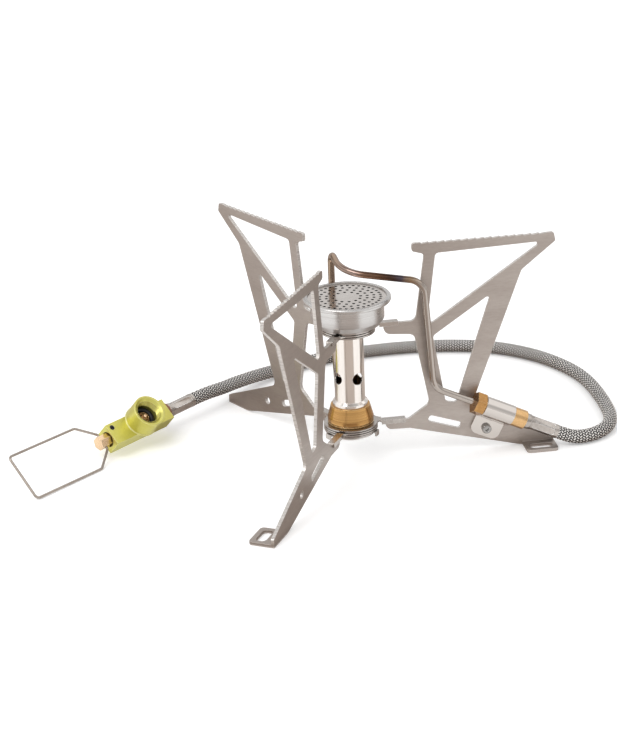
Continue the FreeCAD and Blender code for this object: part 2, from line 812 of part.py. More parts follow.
def burner_cup():
    inner = S.cup_radius - S.cup_wall
    rim_foot = CUP_TOP - S.rim_height
    rim_inner = S.rim_radius - S.rim_width
    bore = S.tube_radius + S.thread_fit
    corner = CUP_FLOOR + S.cup_corner_rise
    points = [(bore, CUP_FLOOR), (S.cup_floor_radius, CUP_FLOOR), (S.cup_radius, corner),
              (S.cup_radius, rim_foot), (S.rim_radius, rim_foot), (S.rim_radius, CUP_TOP),
              (rim_inner, CUP_TOP), (rim_inner, PLATE_SEAT), (inner, PLATE_SEAT), (inner, corner),
              (S.cup_floor_radius - S.cup_wall, CUP_FLOOR + S.cup_wall), (bore, CUP_FLOOR + S.cup_wall)]
    rounds = [(S.cup_floor_radius, CUP_FLOOR, S.cup_round), (S.cup_radius, corner, S.cup_round),
              (S.rim_radius, CUP_TOP, S.rim_round), (S.rim_radius, rim_foot, S.rim_round)]
    return turned("burner_cup", points, rounds)


def burner_plate():
    radius = S.rim_radius - S.rim_width - S.thread_fit
    top = PLATE_SEAT + S.disc_thick
    body = turned("burner_plate", [(0, PLATE_SEAT), (radius, PLATE_SEAT), (radius, top), (0, top)])
    counts = (S.flame_count_first, S.flame_count_second, S.flame_count_third, S.flame_count_fourth)
    for step, count in enumerate(counts):
        name = "flame_hole_" + str(step + 1)
        hole = drill(body, name, "XY_Plane", (S.flame_ring_first + S.flame_ring_pitch * step, 0),
                     S.flame_hole_radius, S.disc_thick * 3, PLATE_SEAT - S.disc_thick, backwards=True)
        repeat_round(body, hole, name + "_ring", count)
    return body


def mixing_tube():
    inner = S.tube_radius - S.tube_wall
    top = CUP_FLOOR + S.cup_wall + S.tube_top_rise
    points = [(inner, BODY_TOP), (S.tube_flange_radius, BODY_TOP),
              (S.tube_flange_radius, BODY_TOP + S.tube_flange_lip),
              (S.tube_radius, BODY_TOP + S.tube_flange_height), (S.tube_radius, top), (inner, top)]
    body = turned("mixing_tube", points)
    hole = drill(body, "air_hole", "YZ_Plane", (0, BODY_TOP + S.air_hole_rise), S.air_hole_radius,
                 S.tube_radius * 2, backwards=True)
    repeat_round(body, hole, "air_holes", S.air_hole_count)
    body.Placement = Placement(Vector(), Rotation(Vector(0, 0, 1), number(S.air_hole_azimuth)))
    return body


def upper_clip():
    """The pressed-on washer that carries the upper rings."""
    top = S.upper_arm_top - RING_STEP * 2 - S.ring_gap
    inner = S.tube_radius + S.thread_fit
    return turned("upper_clip", [(inner, top - S.clip_thick), (S.clip_radius, top - S.clip_thick),
                                 (S.clip_radius, top), (inner, top)])


def jet_body():
    """The brass foot of the burner, with the shank that carries the lower rings."""
    band_top = BODY_FOOT + S.body_band
    groove = S.body_radius - S.groove_depth
    rim_top = BODY_FOOT + S.body_rim
    seat = BODY_TOP - S.jet_seat_depth
    jet_bore = S.jet_radius + S.thread_fit
    points = [(0, SHANK_FOOT), (S.shank_radius, SHANK_FOOT), (S.shank_radius, BODY_FOOT),
              (S.body_radius, BODY_FOOT), (S.body_radius, rim_top), (groove, rim_top),
              (groove, rim_top + S.groove_height), (S.body_radius, rim_top + S.groove_height),
              (S.body_radius, band_top), (S.body_top_radius, BODY_TOP),
              (S.mixing_throat_radius, BODY_TOP), (S.mixing_throat_radius, seat), (jet_bore, seat),
              (jet_bore, seat - S.jet_bore_depth), (0, seat - S.jet_bore_depth)]
    body = turned("jet_body", points, [(S.body_radius, band_top, S.body_round)])
    drill(body, "tube_socket", "YZ_Plane", (0, PREHEAT_ENTRY), S.preheat_radius + S.thread_fit,
          S.body_radius, S.preheat_end_reach, backwards=True)
    drill(body, "gas_way", "YZ_Plane", (0, PREHEAT_ENTRY), S.preheat_bore, S.preheat_end_reach,
          S.preheat_end_reach)
    body.Placement = Placement(Vector(), Rotation(Vector(0, 0, 1), number(S.preheat_azimuth)))
    return body


def gas_jet():
    seat = BODY_TOP - S.jet_seat_depth
    foot = seat - S.jet_thread_length
    hex_top = seat + S.jet_hex_height
    top = seat + S.jet_height
    body = turned("gas_jet", [(S.jet_bore_radius, foot), (S.jet_radius, foot), (S.jet_radius, hex_top),
                              (S.jet_tip_radius, top), (S.jet_bore_radius, top)])
    flats = new_sketch(body, "jet_flats_sketch", "XY_Plane", seat)
    draw_outline(flats, hexagon(S.jet_flats))
    draw_circle(flats, 0, 0, S.jet_radius - S.part_gap)
    extrude(body, "Pad", flats, "jet_hexagon", S.jet_hex_height)
    return body


def base_cap():
    bore = S.shank_radius + S.thread_fit
    floor = SHANK_FOOT - S.thread_fit
    points = [(0, CAP_FOOT), (S.cap_base_radius, CAP_FOOT), (S.cap_radius, LOCK_LEVEL - S.cap_skirt),
              (S.cap_radius, LOCK_LEVEL), (bore, LOCK_LEVEL), (bore, floor), (0, floor)]
    return turned("base_cap", points)


def preheat_tube():
    """The tube that carries gas from the connector up, over the burner and down to the jet."""
    azimuth = math.radians(number(S.preheat_azimuth))
    drop_reach = number(S.rim_radius + S.preheat_drop_gap + S.preheat_radius)

    def at_drop(reach, height):
        return vector(number(reach) * math.cos(azimuth), number(reach) * math.sin(azimuth), height)

    start = CONNECTOR.multVec(vector(-NUT_INNER - S.nipple_length + S.olive_length, 0, 0))
    riser_fall = (number(S.riser_foot_reach) - start.x) * math.tan(math.radians(number(S.connector_slope)))
    over = CUP_TOP + S.preheat_rise
    points = [start,
              Vector(number(S.riser_foot_reach), start.y, start.z - riser_fall),
              Vector(number(S.riser_top_reach), start.y, number(over)),
              vector(S.preheat_far_across, S.preheat_far_along, over + S.preheat_slope_rise),
              at_drop(drop_reach, over + S.preheat_crest_rise),
              at_drop(drop_reach, UPPER_ARM_BOTTOM),
              at_drop(S.preheat_entry_bend, PREHEAT_ENTRY),
              at_drop(S.preheat_end_reach, PREHEAT_ENTRY)]
    bends = [S.riser_foot_bend, S.riser_top_bend, S.over_bend, S.crest_bend, S.drop_bend, S.entry_bend]
    wire = bent_wire(points, [number(bend) for bend in bends])
    tube = doc.addObject("Part::Cut", "preheat_tube")
    tube.Base = swept("preheat_outside", wire, S.preheat_radius)
    tube.Tool = swept("preheat_inside", wire, S.preheat_bore)
    return tube


# Connector.

def gland_nut():
    """The compression nut; two of its flats lie parallel to the leg."""
    body = new_body("gland_nut")
    flats = new_sketch(body, "nut_outline", "XY_Plane")
    draw_outline(flats, hexagon((STAND - S.part_gap) * 2))
    extrude(body, "Pad", flats, "nut_hexagon", S.nut_length)
    drill(body, "nut_tube_hole", "XY_Plane", (0, 0), S.preheat_radius + S.thread_fit, S.nut_length * 2,
          backwards=True)
    drill(body, "nut_thread", "XY_Plane", (0, 0), S.nipple_radius + S.thread_fit, S.nut_length,
          S.nut_length - S.nut_bore_depth, backwards=True)
    return on_frame(body, CONNECTOR, -NUT_INNER - S.nut_length, rotation=AXLE)


def tube_olive():
    inner = S.preheat_radius + S.thread_fit
    body = turned("tube_olive", [(inner, 0), (S.olive_radius, 0), (S.olive_radius, S.olive_length),
                                 (inner, S.olive_length)])
    return on_frame(body, CONNECTOR, -NUT_INNER - S.nipple_length, rotation=AXLE)


def swivel_body():
    """The brass body inside the clip, with a threaded nipple for the nut and a collar outside."""
    socket = S.olive_radius + S.thread_fit
    points = [(S.preheat_bore, S.olive_length), (socket, S.olive_length), (socket, 0),
              (S.nipple_radius, 0), (S.nipple_radius, S.nipple_length),
              (S.swivel_radius, S.nipple_length),
              (S.swivel_radius, S.nipple_length + NUT_INNER + STRAP_HALF + S.part_gap),
              (S.collar_radius, S.nipple_length + NUT_INNER + STRAP_HALF + S.part_gap),
              (S.collar_radius, S.nipple_length + NUT_INNER + COLLAR_END),
              (S.preheat_bore, S.nipple_length + NUT_INNER + COLLAR_END)]
    return on_frame(turned("swivel_body", points), CONNECTOR, -NUT_INNER - S.nipple_length, rotation=AXLE)


def hose_clip():
    """The sheet strap that wraps the swivel body and is screwed flat to the leg."""
    outer = S.swivel_radius + S.running_fit + S.strap_thick
    tab_front = STAND - S.strap_thick * 2
    body = new_body("hose_clip")
    barrel = new_sketch(body, "clip_barrel", "YZ_Plane")
    draw_circle(barrel, 0, 0, outer)
    extrude(body, "Pad", barrel, "clip_round", S.strap_length, symmetric=True)
    skirt = new_sketch(body, "clip_skirt_outline", "YZ_Plane")
    draw_outline(skirt, [(0, 0), (-outer * sine(S.strap_tangent), -outer * cosine(S.strap_tangent)),
                         (tab_front, -S.strap_drop), (tab_front, -S.strap_tab_depth),
                         (STAND, -S.strap_tab_depth), (STAND, 0)])
    extrude(body, "Pad", skirt, "clip_skirt", S.strap_length, symmetric=True)
    drill(body, "clip_bore", "YZ_Plane", (0, 0), S.swivel_radius + S.running_fit, S.strap_length * 2,
          symmetric=True)
    drill(body, "clip_screw_hole", "XZ_Plane", (0, -SCREW_DROP), S.screw_hole_radius, STAND * 4,
          symmetric=True)
    corners = [(STRAP_HALF, -S.strap_tab_depth), (-STRAP_HALF, -S.strap_tab_depth)]
    round_edges(body, "clip_corners", straight_edges(body.Shape, 0, 2, corners), S.strap_tab_round)
    return on_frame(body, CONNECTOR)


def clip_screw():
    """The clip's screw, made head up and laid so that its head faces outwards."""
    grip = S.strap_thick * 2 + S.plate_thick
    shank = grip + S.screw_nut_thick + S.part_gap
    head = S.screw_head_height
    body = turned("clip_screw", [(0, -shank), (S.screw_radius, -shank), (S.screw_radius, 0),
                                 (S.screw_head_radius, 0), (S.screw_head_radius, head), (0, head)],
                  [(S.screw_head_radius, head, S.screw_head_round)])
    recess = new_sketch(body, "screw_recess_outline", "XY_Plane", head)
    draw_outline(recess, hexagon(S.screw_recess_flats))
    extrude(body, "Pocket", recess, "screw_recess", S.screw_recess_depth)
    return on_frame(body, CONNECTOR, 0, STAND - S.strap_thick * 2, -SCREW_DROP,
                    Rotation(Vector(1, 0, 0), 90))


def clip_nut():
    body = new_body("clip_nut")
    outline = new_sketch(body, "clip_nut_outline", "XY_Plane")
    draw_outline(outline, hexagon(S.screw_nut_flats))
    draw_circle(outline, 0, 0, S.screw_radius + S.thread_fit)
    extrude(body, "Pad", outline, "clip_nut_hexagon", S.screw_nut_thick)
    return on_frame(body, CONNECTOR, 0, STAND + S.plate_thick, -SCREW_DROP, Rotation(Vector(1, 0, 0), -90))


def hose_ferrule(side):
    """A crimped sleeve with a collar where it meets its fitting."""
    bore = S.preheat_bore
    shoulder = S.ferrule_collar
    body = turned("hose_ferrule_" + side,
                  [(bore, 0), (S.ferrule_radius, 0), (S.ferrule_radius, shoulder),
                   (S.ferrule_waist, shoulder + S.part_gap * 2), (S.ferrule_waist, S.ferrule_length),
                   (bore, S.ferrule_length)])
    if side == "right":
        return on_frame(body, CONNECTOR, COLLAR_END, rotation=AXLE)
    return on_frame(body, VALVE, WASHER_FACE, rotation=Rotation(Vector(0, 1, 0), -90))


def hose():
    right_end = COLLAR_END + S.ferrule_length
    left_end = WASHER_FACE - S.ferrule_length
    points = [CONNECTOR.multVec(vector(right_end, 0, 0)),
              CONNECTOR.multVec(vector(right_end + S.hose_right_lead, 0, 0))]
    points.extend(vector(*point) for point in HOSE_ROUTE)
    points.append(VALVE.multVec(vector(left_end - S.hose_left_lead, 0, 0)))
    points.append(VALVE.multVec(vector(left_end, 0, 0)))
    bends = [widest_bend(*corner) for corner in zip(points, points[1:], points[2:])]
    print("hose bends", [round(bend, 1) for bend in bends])
    return swept("hose", bent_wire(points, bends), S.hose_radius)


# Valve. The block is made about its socket's axis, the rest about the spindle's.

def valve_block():
    front = S.boss_position
    rear = S.boss_position - S.block_length
    side = S.block_width / 2
    body = new_body("valve_block")
    outline = new_sketch(body, "block_outline", "XY_Plane")
    draw_outline(outline, [(front, -side), (front, side), (rear, side), (rear, -side)])
    extrude(body, "Pad", outline, "block", S.block_depth, symmetric=True)
    foot = new_sketch(body, "boss_foot_outline", "XY_Plane", S.boss_start)
    draw_circle(foot, 0, 0, S.boss_foot_radius)
    extrude(body, "Pad", foot, "boss_foot", S.boss_foot_height)
    boss = new_sketch(body, "boss_outline", "XY_Plane", S.boss_start)
    draw_circle(boss, 0, 0, S.boss_radius)
    extrude(body, "Pad", boss, "boss", S.boss_height - S.boss_start)
    drill(body, "socket", "XY_Plane", (0, 0), S.thread_radius, S.thread_depth, S.boss_height)
    edges = ring_edge(body.Shape, S.thread_radius, S.boss_height)
    chamfer = body.newObject("PartDesign::Chamfer", "socket_mouth")
    chamfer.Base = (body.getObject("socket"), edges)
    bind(chamfer, "Size", S.thread_mouth_radius - S.thread_radius)
    body.Tip = chamfer
    doc.recompute()
    drill(body, "thread_relief", "XY_Plane", (0, 0), S.thread_radius + S.thread_relief_depth,
          S.thread_relief_length, SOCKET_FLOOR + S.thread_relief_length)
    drill(body, "inlet", "XY_Plane", (0, 0), S.gas_way_radius, SOCKET_FLOOR, SOCKET_FLOOR)
    drill(body, "spindle_bore", "YZ_Plane", (0, 0), S.spindle_bore, S.spindle_bore_depth, front)
    drill(body, "chamber", "YZ_Plane", (0, 0), S.chamber_radius, S.chamber_depth, front)
    drill(body, "outlet", "YZ_Plane", (0, 0), S.gas_way_radius, S.block_length * 2, front)
    drill(body, "set_screw_hole", "XY_Plane", (front - S.set_screw_inset, -S.set_screw_offset),
          S.set_screw_radius + S.thread_fit, S.set_screw_length + S.part_gap, HALF_BLOCK)
    return on_frame(body, VALVE, -S.boss_position)


def canister_gasket():
    outer = S.thread_radius - S.part_gap
    body = turned("canister_gasket", [(S.gasket_bore, 0), (outer, 0), (outer, S.gasket_thick),
                                      (S.gasket_bore, S.gasket_thick)])
    return on_frame(body, VALVE, -S.boss_position, 0, SOCKET_FLOOR)


def pin_depressor():
    pin_top = S.depressor_height + S.depressor_pin_rise
    body = turned("pin_depressor", [(0, 0), (S.depressor_radius, 0),
                                    (S.depressor_radius, S.depressor_height),
                                    (S.depressor_pin_radius, S.depressor_height),
                                    (S.depressor_pin_radius, pin_top), (0, pin_top)])
    return on_frame(body, VALVE, -S.boss_position, 0, SOCKET_FLOOR)


def set_screw():
    body = turned("set_screw", [(0, 0), (S.set_screw_radius, 0), (S.set_screw_radius, S.set_screw_length),
                                (0, S.set_screw_length)])
    recess = new_sketch(body, "set_screw_recess_outline", "XY_Plane", S.set_screw_length)
    draw_outline(recess, hexagon(S.set_screw_flats))
    extrude(body, "Pocket", recess, "set_screw_recess", S.set_screw_recess)
    return on_frame(body, VALVE, -S.set_screw_inset, -S.set_screw_offset,
                    HALF_BLOCK - S.set_screw_length)


def valve_spindle():
    """The needle spindle with its hexagonal head, made along Z from the block's front face."""
    neck_end = -S.head_inset - S.spindle_neck_length
    collar_end = neck_end - S.spindle_collar_length
    collar = S.spindle_bore - S.running_fit
    needle_end = -S.chamber_depth
    stem_end = needle_end + S.spindle_needle_length
    points = [(0, needle_end), (S.spindle_needle_radius, needle_end), (S.spindle_stem_radius, stem_end),
              (S.spindle_stem_radius, collar_end), (collar, collar_end), (collar, neck_end),
              (S.spindle_neck_radius, neck_end), (S.spindle_neck_radius, -S.head_inset),
              (0, -S.head_inset)]
    body = turned("valve_spindle", points)
    head = new_sketch(body, "head_outline", "XY_Plane", -S.head_inset)
    draw_outline(head, hexagon(S.head_flats))
    extrude(body, "Pad", head, "head", S.head_length + S.head_inset)
    drill(body, "handle_hole", "XZ_Plane", (0, S.handle_hinge), S.wire_radius + S.running_fit,
          S.head_flats * 2, symmetric=True)
    return on_frame(body, VALVE, rotation=AXLE)


def spindle_o_ring():
    seal = doc.addObject("Part::Torus", "spindle_o_ring")
    bind(seal, "Radius1", S.spindle_neck_radius + S.running_fit + S.ring_seal_radius)
    bind(seal, "Radius2", S.ring_seal_radius)
    return on_frame(seal, VALVE, -S.head_inset - S.spindle_neck_length / 2, rotation=AXLE)


def sealing_washer():
    body = turned("sealing_washer", [(S.washer_bore, 0), (S.washer_radius, 0),
                                     (S.washer_radius, S.washer_thick), (S.washer_bore, S.washer_thick)])
    return on_frame(body, VALVE, WASHER_FACE, rotation=AXLE)


def wire_handle():
    """The spring wire loop that turns the spindle, folding about the hole in its head."""
    hinge = number(S.handle_hinge)
    lift = math.radians(number(S.handle_lift))
    inner = number(S.head_flats / 2 - S.wire_grip)
    root = number(S.head_flats / 2 + S.handle_root)
    half = number(S.handle_half_width)

    def at(distance, side):
        return Vector(hinge + distance * math.cos(lift), side, distance * math.sin(lift))

    shoulder = number(S.handle_shoulder)
    length = number(S.handle_length)
    points = [at(0, inner), at(0, root), at(shoulder, half), at(length, half), at(length, -half),
              at(shoulder, -half), at(0, -root), at(0, -inner)]
    root_bend = number(S.handle_root_bend)
    shoulder_bend = number(S.handle_shoulder_bend)
    corner_bend = number(S.handle_corner_bend)
    bends = [root_bend, shoulder_bend, corner_bend, corner_bend, shoulder_bend, root_bend]
    return on_frame(swept("wire_handle", bent_wire(points, bends), S.wire_radius), VALVE)


UPPER_BORE = S.tube_radius + S.running_fit
LOWER_BORE = S.shank_radius + S.running_fit
pieces = []
for order, side in enumerate(("right", "front", "rear")):
    pieces.append(leg(side))
    pieces.append(hub_ring("upper_ring_" + side, side, S.upper_arm_top - RING_STEP * order,
                           S.upper_arm_top, S.upper_saddle_end, UPPER_BORE))
    pieces.append(hub_ring("lower_ring_" + side, side, LOWER_RING_TOP - RING_STEP * order,
                           S.lower_arm_top, S.lower_saddle_end, LOWER_BORE))
for make in (lock_plate, burner_cup, burner_plate, mixing_tube, upper_clip, jet_body, gas_jet, base_cap,
             preheat_tube, gland_nut, tube_olive, swivel_body, hose_clip, clip_screw, clip_nut, hose,
             valve_block, canister_gasket, pin_depressor, set_screw, valve_spindle, spindle_o_ring,
             sealing_washer, wire_handle):
    pieces.append(make())
for side in ("right", "left"):
    pieces.append(hose_ferrule(side))
doc.recompute()

for thing in doc.Objects:
    if "Invalid" in thing.State or "Error" in thing.State:
        raise ValueError(thing.Name + " failed: " + str(thing.State))
for piece in pieces:
    if piece.Shape.isNull() or not piece.Shape.isValid() or piece.Shape.Volume <= 0:
        raise ValueError(piece.Label + " has no valid shape")

os.makedirs("parts", exist_ok=True)
for piece in pieces:
    piece.Shape.exportStep("parts/" + piece.Label + ".step")
print(len(pieces), "sub-parts written")
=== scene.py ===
"""Looks of a folding camping gas stove with a braided hose and a remote canister valve."""
import math

import bpy
import numpy as np
from mathutils import Matrix, Vector


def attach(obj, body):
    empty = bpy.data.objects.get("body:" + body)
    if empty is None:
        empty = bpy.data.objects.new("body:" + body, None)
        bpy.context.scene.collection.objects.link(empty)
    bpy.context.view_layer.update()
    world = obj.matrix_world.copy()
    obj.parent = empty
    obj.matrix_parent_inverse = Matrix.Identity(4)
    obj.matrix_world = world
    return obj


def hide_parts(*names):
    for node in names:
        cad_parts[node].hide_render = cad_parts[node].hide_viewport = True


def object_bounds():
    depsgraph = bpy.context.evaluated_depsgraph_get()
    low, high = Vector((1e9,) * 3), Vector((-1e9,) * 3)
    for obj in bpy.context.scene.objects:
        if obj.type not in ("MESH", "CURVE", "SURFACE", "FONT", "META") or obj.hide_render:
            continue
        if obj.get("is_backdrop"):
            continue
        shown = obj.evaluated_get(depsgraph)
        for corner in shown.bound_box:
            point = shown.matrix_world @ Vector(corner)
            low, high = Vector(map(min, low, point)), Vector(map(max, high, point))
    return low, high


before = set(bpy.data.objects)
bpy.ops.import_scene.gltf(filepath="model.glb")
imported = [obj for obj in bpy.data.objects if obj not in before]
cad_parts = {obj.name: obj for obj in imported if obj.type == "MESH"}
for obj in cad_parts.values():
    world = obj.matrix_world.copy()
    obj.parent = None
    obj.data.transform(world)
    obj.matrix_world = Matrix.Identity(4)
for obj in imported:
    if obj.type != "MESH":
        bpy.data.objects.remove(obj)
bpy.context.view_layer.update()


# ---------------------------------------------------------------- camera
# The stove is seen from the front, slightly from its left side and from above.
# A long lens, with the stove's whole hose and handle in view.

camera_azimuth = math.radians(-7.297)
camera_elevation = math.radians(22.140)
camera_roll = math.radians(-2.312)
camera_place = Vector((-0.12896, -0.86471, 0.39604))
film_side = 36.0
focal_pixels = 2136
picture_height = 756

back = Vector((math.sin(camera_azimuth) * math.cos(camera_elevation),
               -math.cos(camera_azimuth) * math.cos(camera_elevation),
               math.sin(camera_elevation)))
level = Vector((0, 0, 1)).cross(back).normalized()
steep = back.cross(level)
across = level * math.cos(camera_roll) + steep * math.sin(camera_roll)
upright = steep * math.cos(camera_roll) - level * math.sin(camera_roll)
lens = bpy.data.cameras.new("camera")
lens.sensor_width = film_side
lens.lens = film_side * focal_pixels / picture_height
lens.clip_start = 0.05
lens.clip_end = 20.0
camera = bpy.data.objects.new("camera", lens)
bpy.context.scene.collection.objects.link(camera)
camera.matrix_world = Matrix((across, upright, back)).transposed().to_4x4()
camera.location = camera_place
bpy.context.scene.camera = camera


# ---------------------------------------------------------------- hose
# A rubber hose under a fine braid of bright stainless wire, 6 mm across.
# It leaves the connector's ferrule, lies round behind the stove and rises to the valve's ferrule.

hose_route = [
    (0.09264, -0.00535, 0.00696), (0.0979, -0.00545, 0.00445), (0.1030, -0.0055, 0.0034),
    (0.1085, -0.0045, 0.0033), (0.1143, -0.0014, 0.0033), (0.1198, 0.0045, 0.0033),
    (0.1233, 0.0140, 0.0033), (0.1248, 0.0280, 0.0033), (0.1249, 0.0470, 0.0033),
    (0.1236, 0.063, 0.0033), (0.1185, 0.079, 0.0033), (0.108, 0.097, 0.0033),
    (0.091, 0.112, 0.0033), (0.07, 0.1195, 0.0033), (0.046, 0.1225, 0.0033),
    (0.024, 0.1212, 0.0033), (0.006, 0.1178, 0.0033), (-0.009, 0.112, 0.0034),
    (-0.022, 0.1043, 0.004), (-0.0335, 0.0955, 0.0054), (-0.043, 0.0855, 0.0072),
    (-0.051, 0.0755, 0.0089), (-0.0592, 0.06748, 0.01048), (-0.06619, 0.06182, 0.01016),
]
hose_radius = 0.003
braid_pitch = 0.0188
braid_strands = 14
braid_samples = 5
braid_wires = 5
braid_rise = 0.0002
braid_valley = 0.35
line_average = 9
line_kept_ends = 12
# The wires' colours: a painted highlight on each wire's middle, painted shade at its sides, and painted shade in the
# braid's gaps.
braid_highlight = (248, 246, 243)
braid_shaded = (205, 200, 195)
braid_gap_shade = (26, 24, 23)


def tint(colour):
    """A colour written as 0 to 255, as the shader's linear values."""
    linear = [(c / 255 / 12.92) if c <= 10 else ((c / 255 + 0.055) / 1.055) ** 2.4 for c in colour]
    return (*linear, 1.0)


def node(tree, kind, inputs=(), **settings):
    """A shader node with its settings, and its sockets set or joined."""
    made = tree.nodes.new(kind)
    for name, value in settings.items():
        setattr(made, name, value)
    for key, value in (inputs.items() if isinstance(inputs, dict) else enumerate(inputs)):
        if isinstance(value, bpy.types.NodeSocket):
            tree.links.new(value, made.inputs[key])
        elif value is not None:
            made.inputs[key].default_value = value
    return made


def count(tree, operation, *values):
    """The result of a Math node."""
    return node(tree, "ShaderNodeMath", values, operation=operation).outputs[0]


def blend(tree, share, first, second):
    """A colour between two, by a share from 0 to 1."""
    # A Mix node's colours have their own sockets, after those for numbers and vectors.
    return node(tree, "ShaderNodeMix", {0: share, 6: first, 7: second}, data_type="RGBA").outputs[2]


def spread(tree, value, low, high, to_low=0.0, to_high=1.0):
    """A value moved from one range to another, and held inside it."""
    return node(tree, "ShaderNodeMapRange", (value, low, high, to_low, to_high)).outputs[0]


def new_finish(name, roughness, metallic=1.0, colour=None):
    """A material with its Principled shader: (material, tree, shader)."""
    finish = bpy.data.materials.new(name)
    finish.use_nodes = True
    shader = finish.node_tree.nodes["Principled BSDF"]
    shader.inputs["Metallic"].default_value = metallic
    if isinstance(roughness, float):
        shader.inputs["Roughness"].default_value = roughness
    if colour:
        shader.inputs["Base Color"].default_value = tint(colour)
    return finish, finish.node_tree, shader


def cross_ways(points):
    """Two directions across a line at each of its points, turned as little as possible."""
    tangents = np.gradient(points, axis=0)
    tangents /= np.linalg.norm(tangents, axis=1)[:, None]
    side = np.cross(tangents[0], (0, 0, 1.0))
    side /= np.linalg.norm(side)
    sides = []
    for tangent in tangents:
        side = side - tangent * (side @ tangent)
        side /= np.linalg.norm(side)
        sides.append(side)
    sides = np.array(sides)
    return sides, np.cross(tangents, sides)


hose_line = bpy.data.curves.new("hose_line", "CURVE")
hose_line.dimensions = "3D"
hose_line.resolution_u = 24
spline = hose_line.splines.new("NURBS")
spline.points.add(len(hose_route) - 1)
for point, place in zip(spline.points, hose_route):
    point.co = (*place, 1.0)
spline.order_u = 3
spline.use_endpoint_u = True
line_object = bpy.data.objects.new("hose_line", hose_line)
bpy.context.scene.collection.objects.link(line_object)
line_mesh = bpy.data.meshes.new_from_object(line_object)
hose_points = np.array([v.co for v in line_mesh.vertices])
bpy.data.objects.remove(line_object)

hose_steps = np.concatenate(([0.0], np.cumsum(np.linalg.norm(np.diff(hose_points, axis=0), axis=1))))
rings = int(hose_steps[-1] / (braid_pitch / (braid_strands * braid_samples)))
stations = np.linspace(0, hose_steps[-1], rings + 1)
centres = np.column_stack([np.interp(stations, hose_steps, hose_points[:, k]) for k in range(3)])
kernel = np.ones(line_average) / line_average
smooth = np.column_stack([np.convolve(np.pad(centres[:, k], line_average // 2, "edge"), kernel, "valid")
                          for k in range(3)])
centres[line_kept_ends:-line_kept_ends] = smooth[line_kept_ends:-line_kept_ends]
sides, ups = cross_ways(centres)
around = braid_strands * braid_samples
turns = np.arange(around) / around
# Each strand lies over two others and under the next two.
right_hand = braid_strands * (turns[None, :] + stations[:, None] / braid_pitch)
left_hand = braid_strands * (turns[None, :] - stations[:, None] / braid_pitch)
order = np.mod(np.floor(right_hand) - np.floor(left_hand), 4)
over = order < 2
across_strand = np.where(over, np.mod(right_hand, 1), np.mod(left_hand, 1))
along_strand = np.where(over, 1 - order + np.mod(left_hand, 1), order - 2 + np.mod(right_hand, 1)) / 2
crown = np.sin(np.pi * across_strand) * (braid_valley + (1 - braid_valley) * np.sin(np.pi * along_strand))
radii = hose_radius - braid_rise + 2 * braid_rise * crown
angles = 2 * np.pi * turns
ring_points = (centres[:, None, :]
               + radii[:, :, None] * (sides[:, None, :] * np.cos(angles)[None, :, None]
                                      + ups[:, None, :] * np.sin(angles)[None, :, None]))
corners = ring_points.reshape(-1, 3)
faces = []
for ring in range(rings):
    here, there = ring * around, (ring + 1) * around
    for step in range(around):
        following = (step + 1) % around
        faces.append((here + step, here + following, there + following, there + step))
faces.append(tuple(range(around - 1, -1, -1)))
faces.append(tuple(rings * around + step for step in range(around)))
hose_mesh = bpy.data.meshes.new("braided_hose")
hose_mesh.from_pydata(corners.tolist(), [], faces)
hose_mesh.polygons.foreach_set("use_smooth", [True] * len(faces))
braid_map = hose_mesh.uv_layers.new(name="braid")
places = np.zeros((len(hose_mesh.loops), 2))
quads = rings * around
step = np.tile(np.arange(around), rings)
ring = np.repeat(np.arange(rings), around)
low, high = stations[ring] / braid_pitch, stations[ring + 1] / braid_pitch
here, following = step / around, (step + 1) / around
corner_u = np.column_stack((low, low, high, high)).ravel()
corner_v = np.column_stack((here, following, following, here)).ravel()
places[:quads * 4, 0] = corner_u
places[:quads * 4, 1] = corner_v
braid_map.data.foreach_set("uv", places.ravel())
hose_mesh.update()
hose = bpy.data.objects.new("braided_hose", hose_mesh)
bpy.context.scene.collection.objects.link(hose)

# The wires' pattern follows the same strands as the mesh, on a map of turns along and round the hose.
braid, tree, shader = new_finish("braid_wire", None)
where = node(tree, "ShaderNodeUVMap", uv_map="braid").outputs[0]
parts = node(tree, "ShaderNodeSeparateXYZ", (where,)).outputs
one_way = count(tree, "MULTIPLY", count(tree, "ADD", parts[1], parts[0]), float(braid_strands))
other_way = count(tree, "MULTIPLY", count(tree, "SUBTRACT", parts[1], parts[0]), float(braid_strands))
steps = count(tree, "SUBTRACT", count(tree, "FLOOR", one_way), count(tree, "FLOOR", other_way))
cell = count(tree, "FLOORED_MODULO", steps, 4.0)
on_top = count(tree, "LESS_THAN", cell, 1.5)
beneath = count(tree, "SUBTRACT", 1.0, on_top)
one_share = count(tree, "FRACT", one_way)
other_share = count(tree, "FRACT", other_way)
strand = count(tree, "ADD", count(tree, "MULTIPLY", one_share, on_top),
               count(tree, "MULTIPLY", other_share, beneath))
run = count(tree, "ADD",
            count(tree, "MULTIPLY", count(tree, "SUBTRACT", count(tree, "ADD", 1.0, other_share), cell), on_top),
            count(tree, "MULTIPLY", count(tree, "ADD", count(tree, "SUBTRACT", cell, 2.0), one_share), beneath))
bulge = count(tree, "SINE", count(tree, "MULTIPLY", strand, math.pi))
bead = count(tree, "MULTIPLY", bulge, count(tree, "SINE", count(tree, "MULTIPLY", run, math.pi / 2)))
wires = count(tree, "ABSOLUTE", count(tree, "SINE", count(tree, "MULTIPLY", strand, math.pi * braid_wires)))
height = count(tree, "ADD", count(tree, "MULTIPLY", bead, 0.8), count(tree, "MULTIPLY", wires, 0.2))
patch = node(tree, "ShaderNodeTexNoise",
             {"Vector": node(tree, "ShaderNodeTexCoord").outputs["Object"], "Scale": 260.0, "Detail": 3.0})
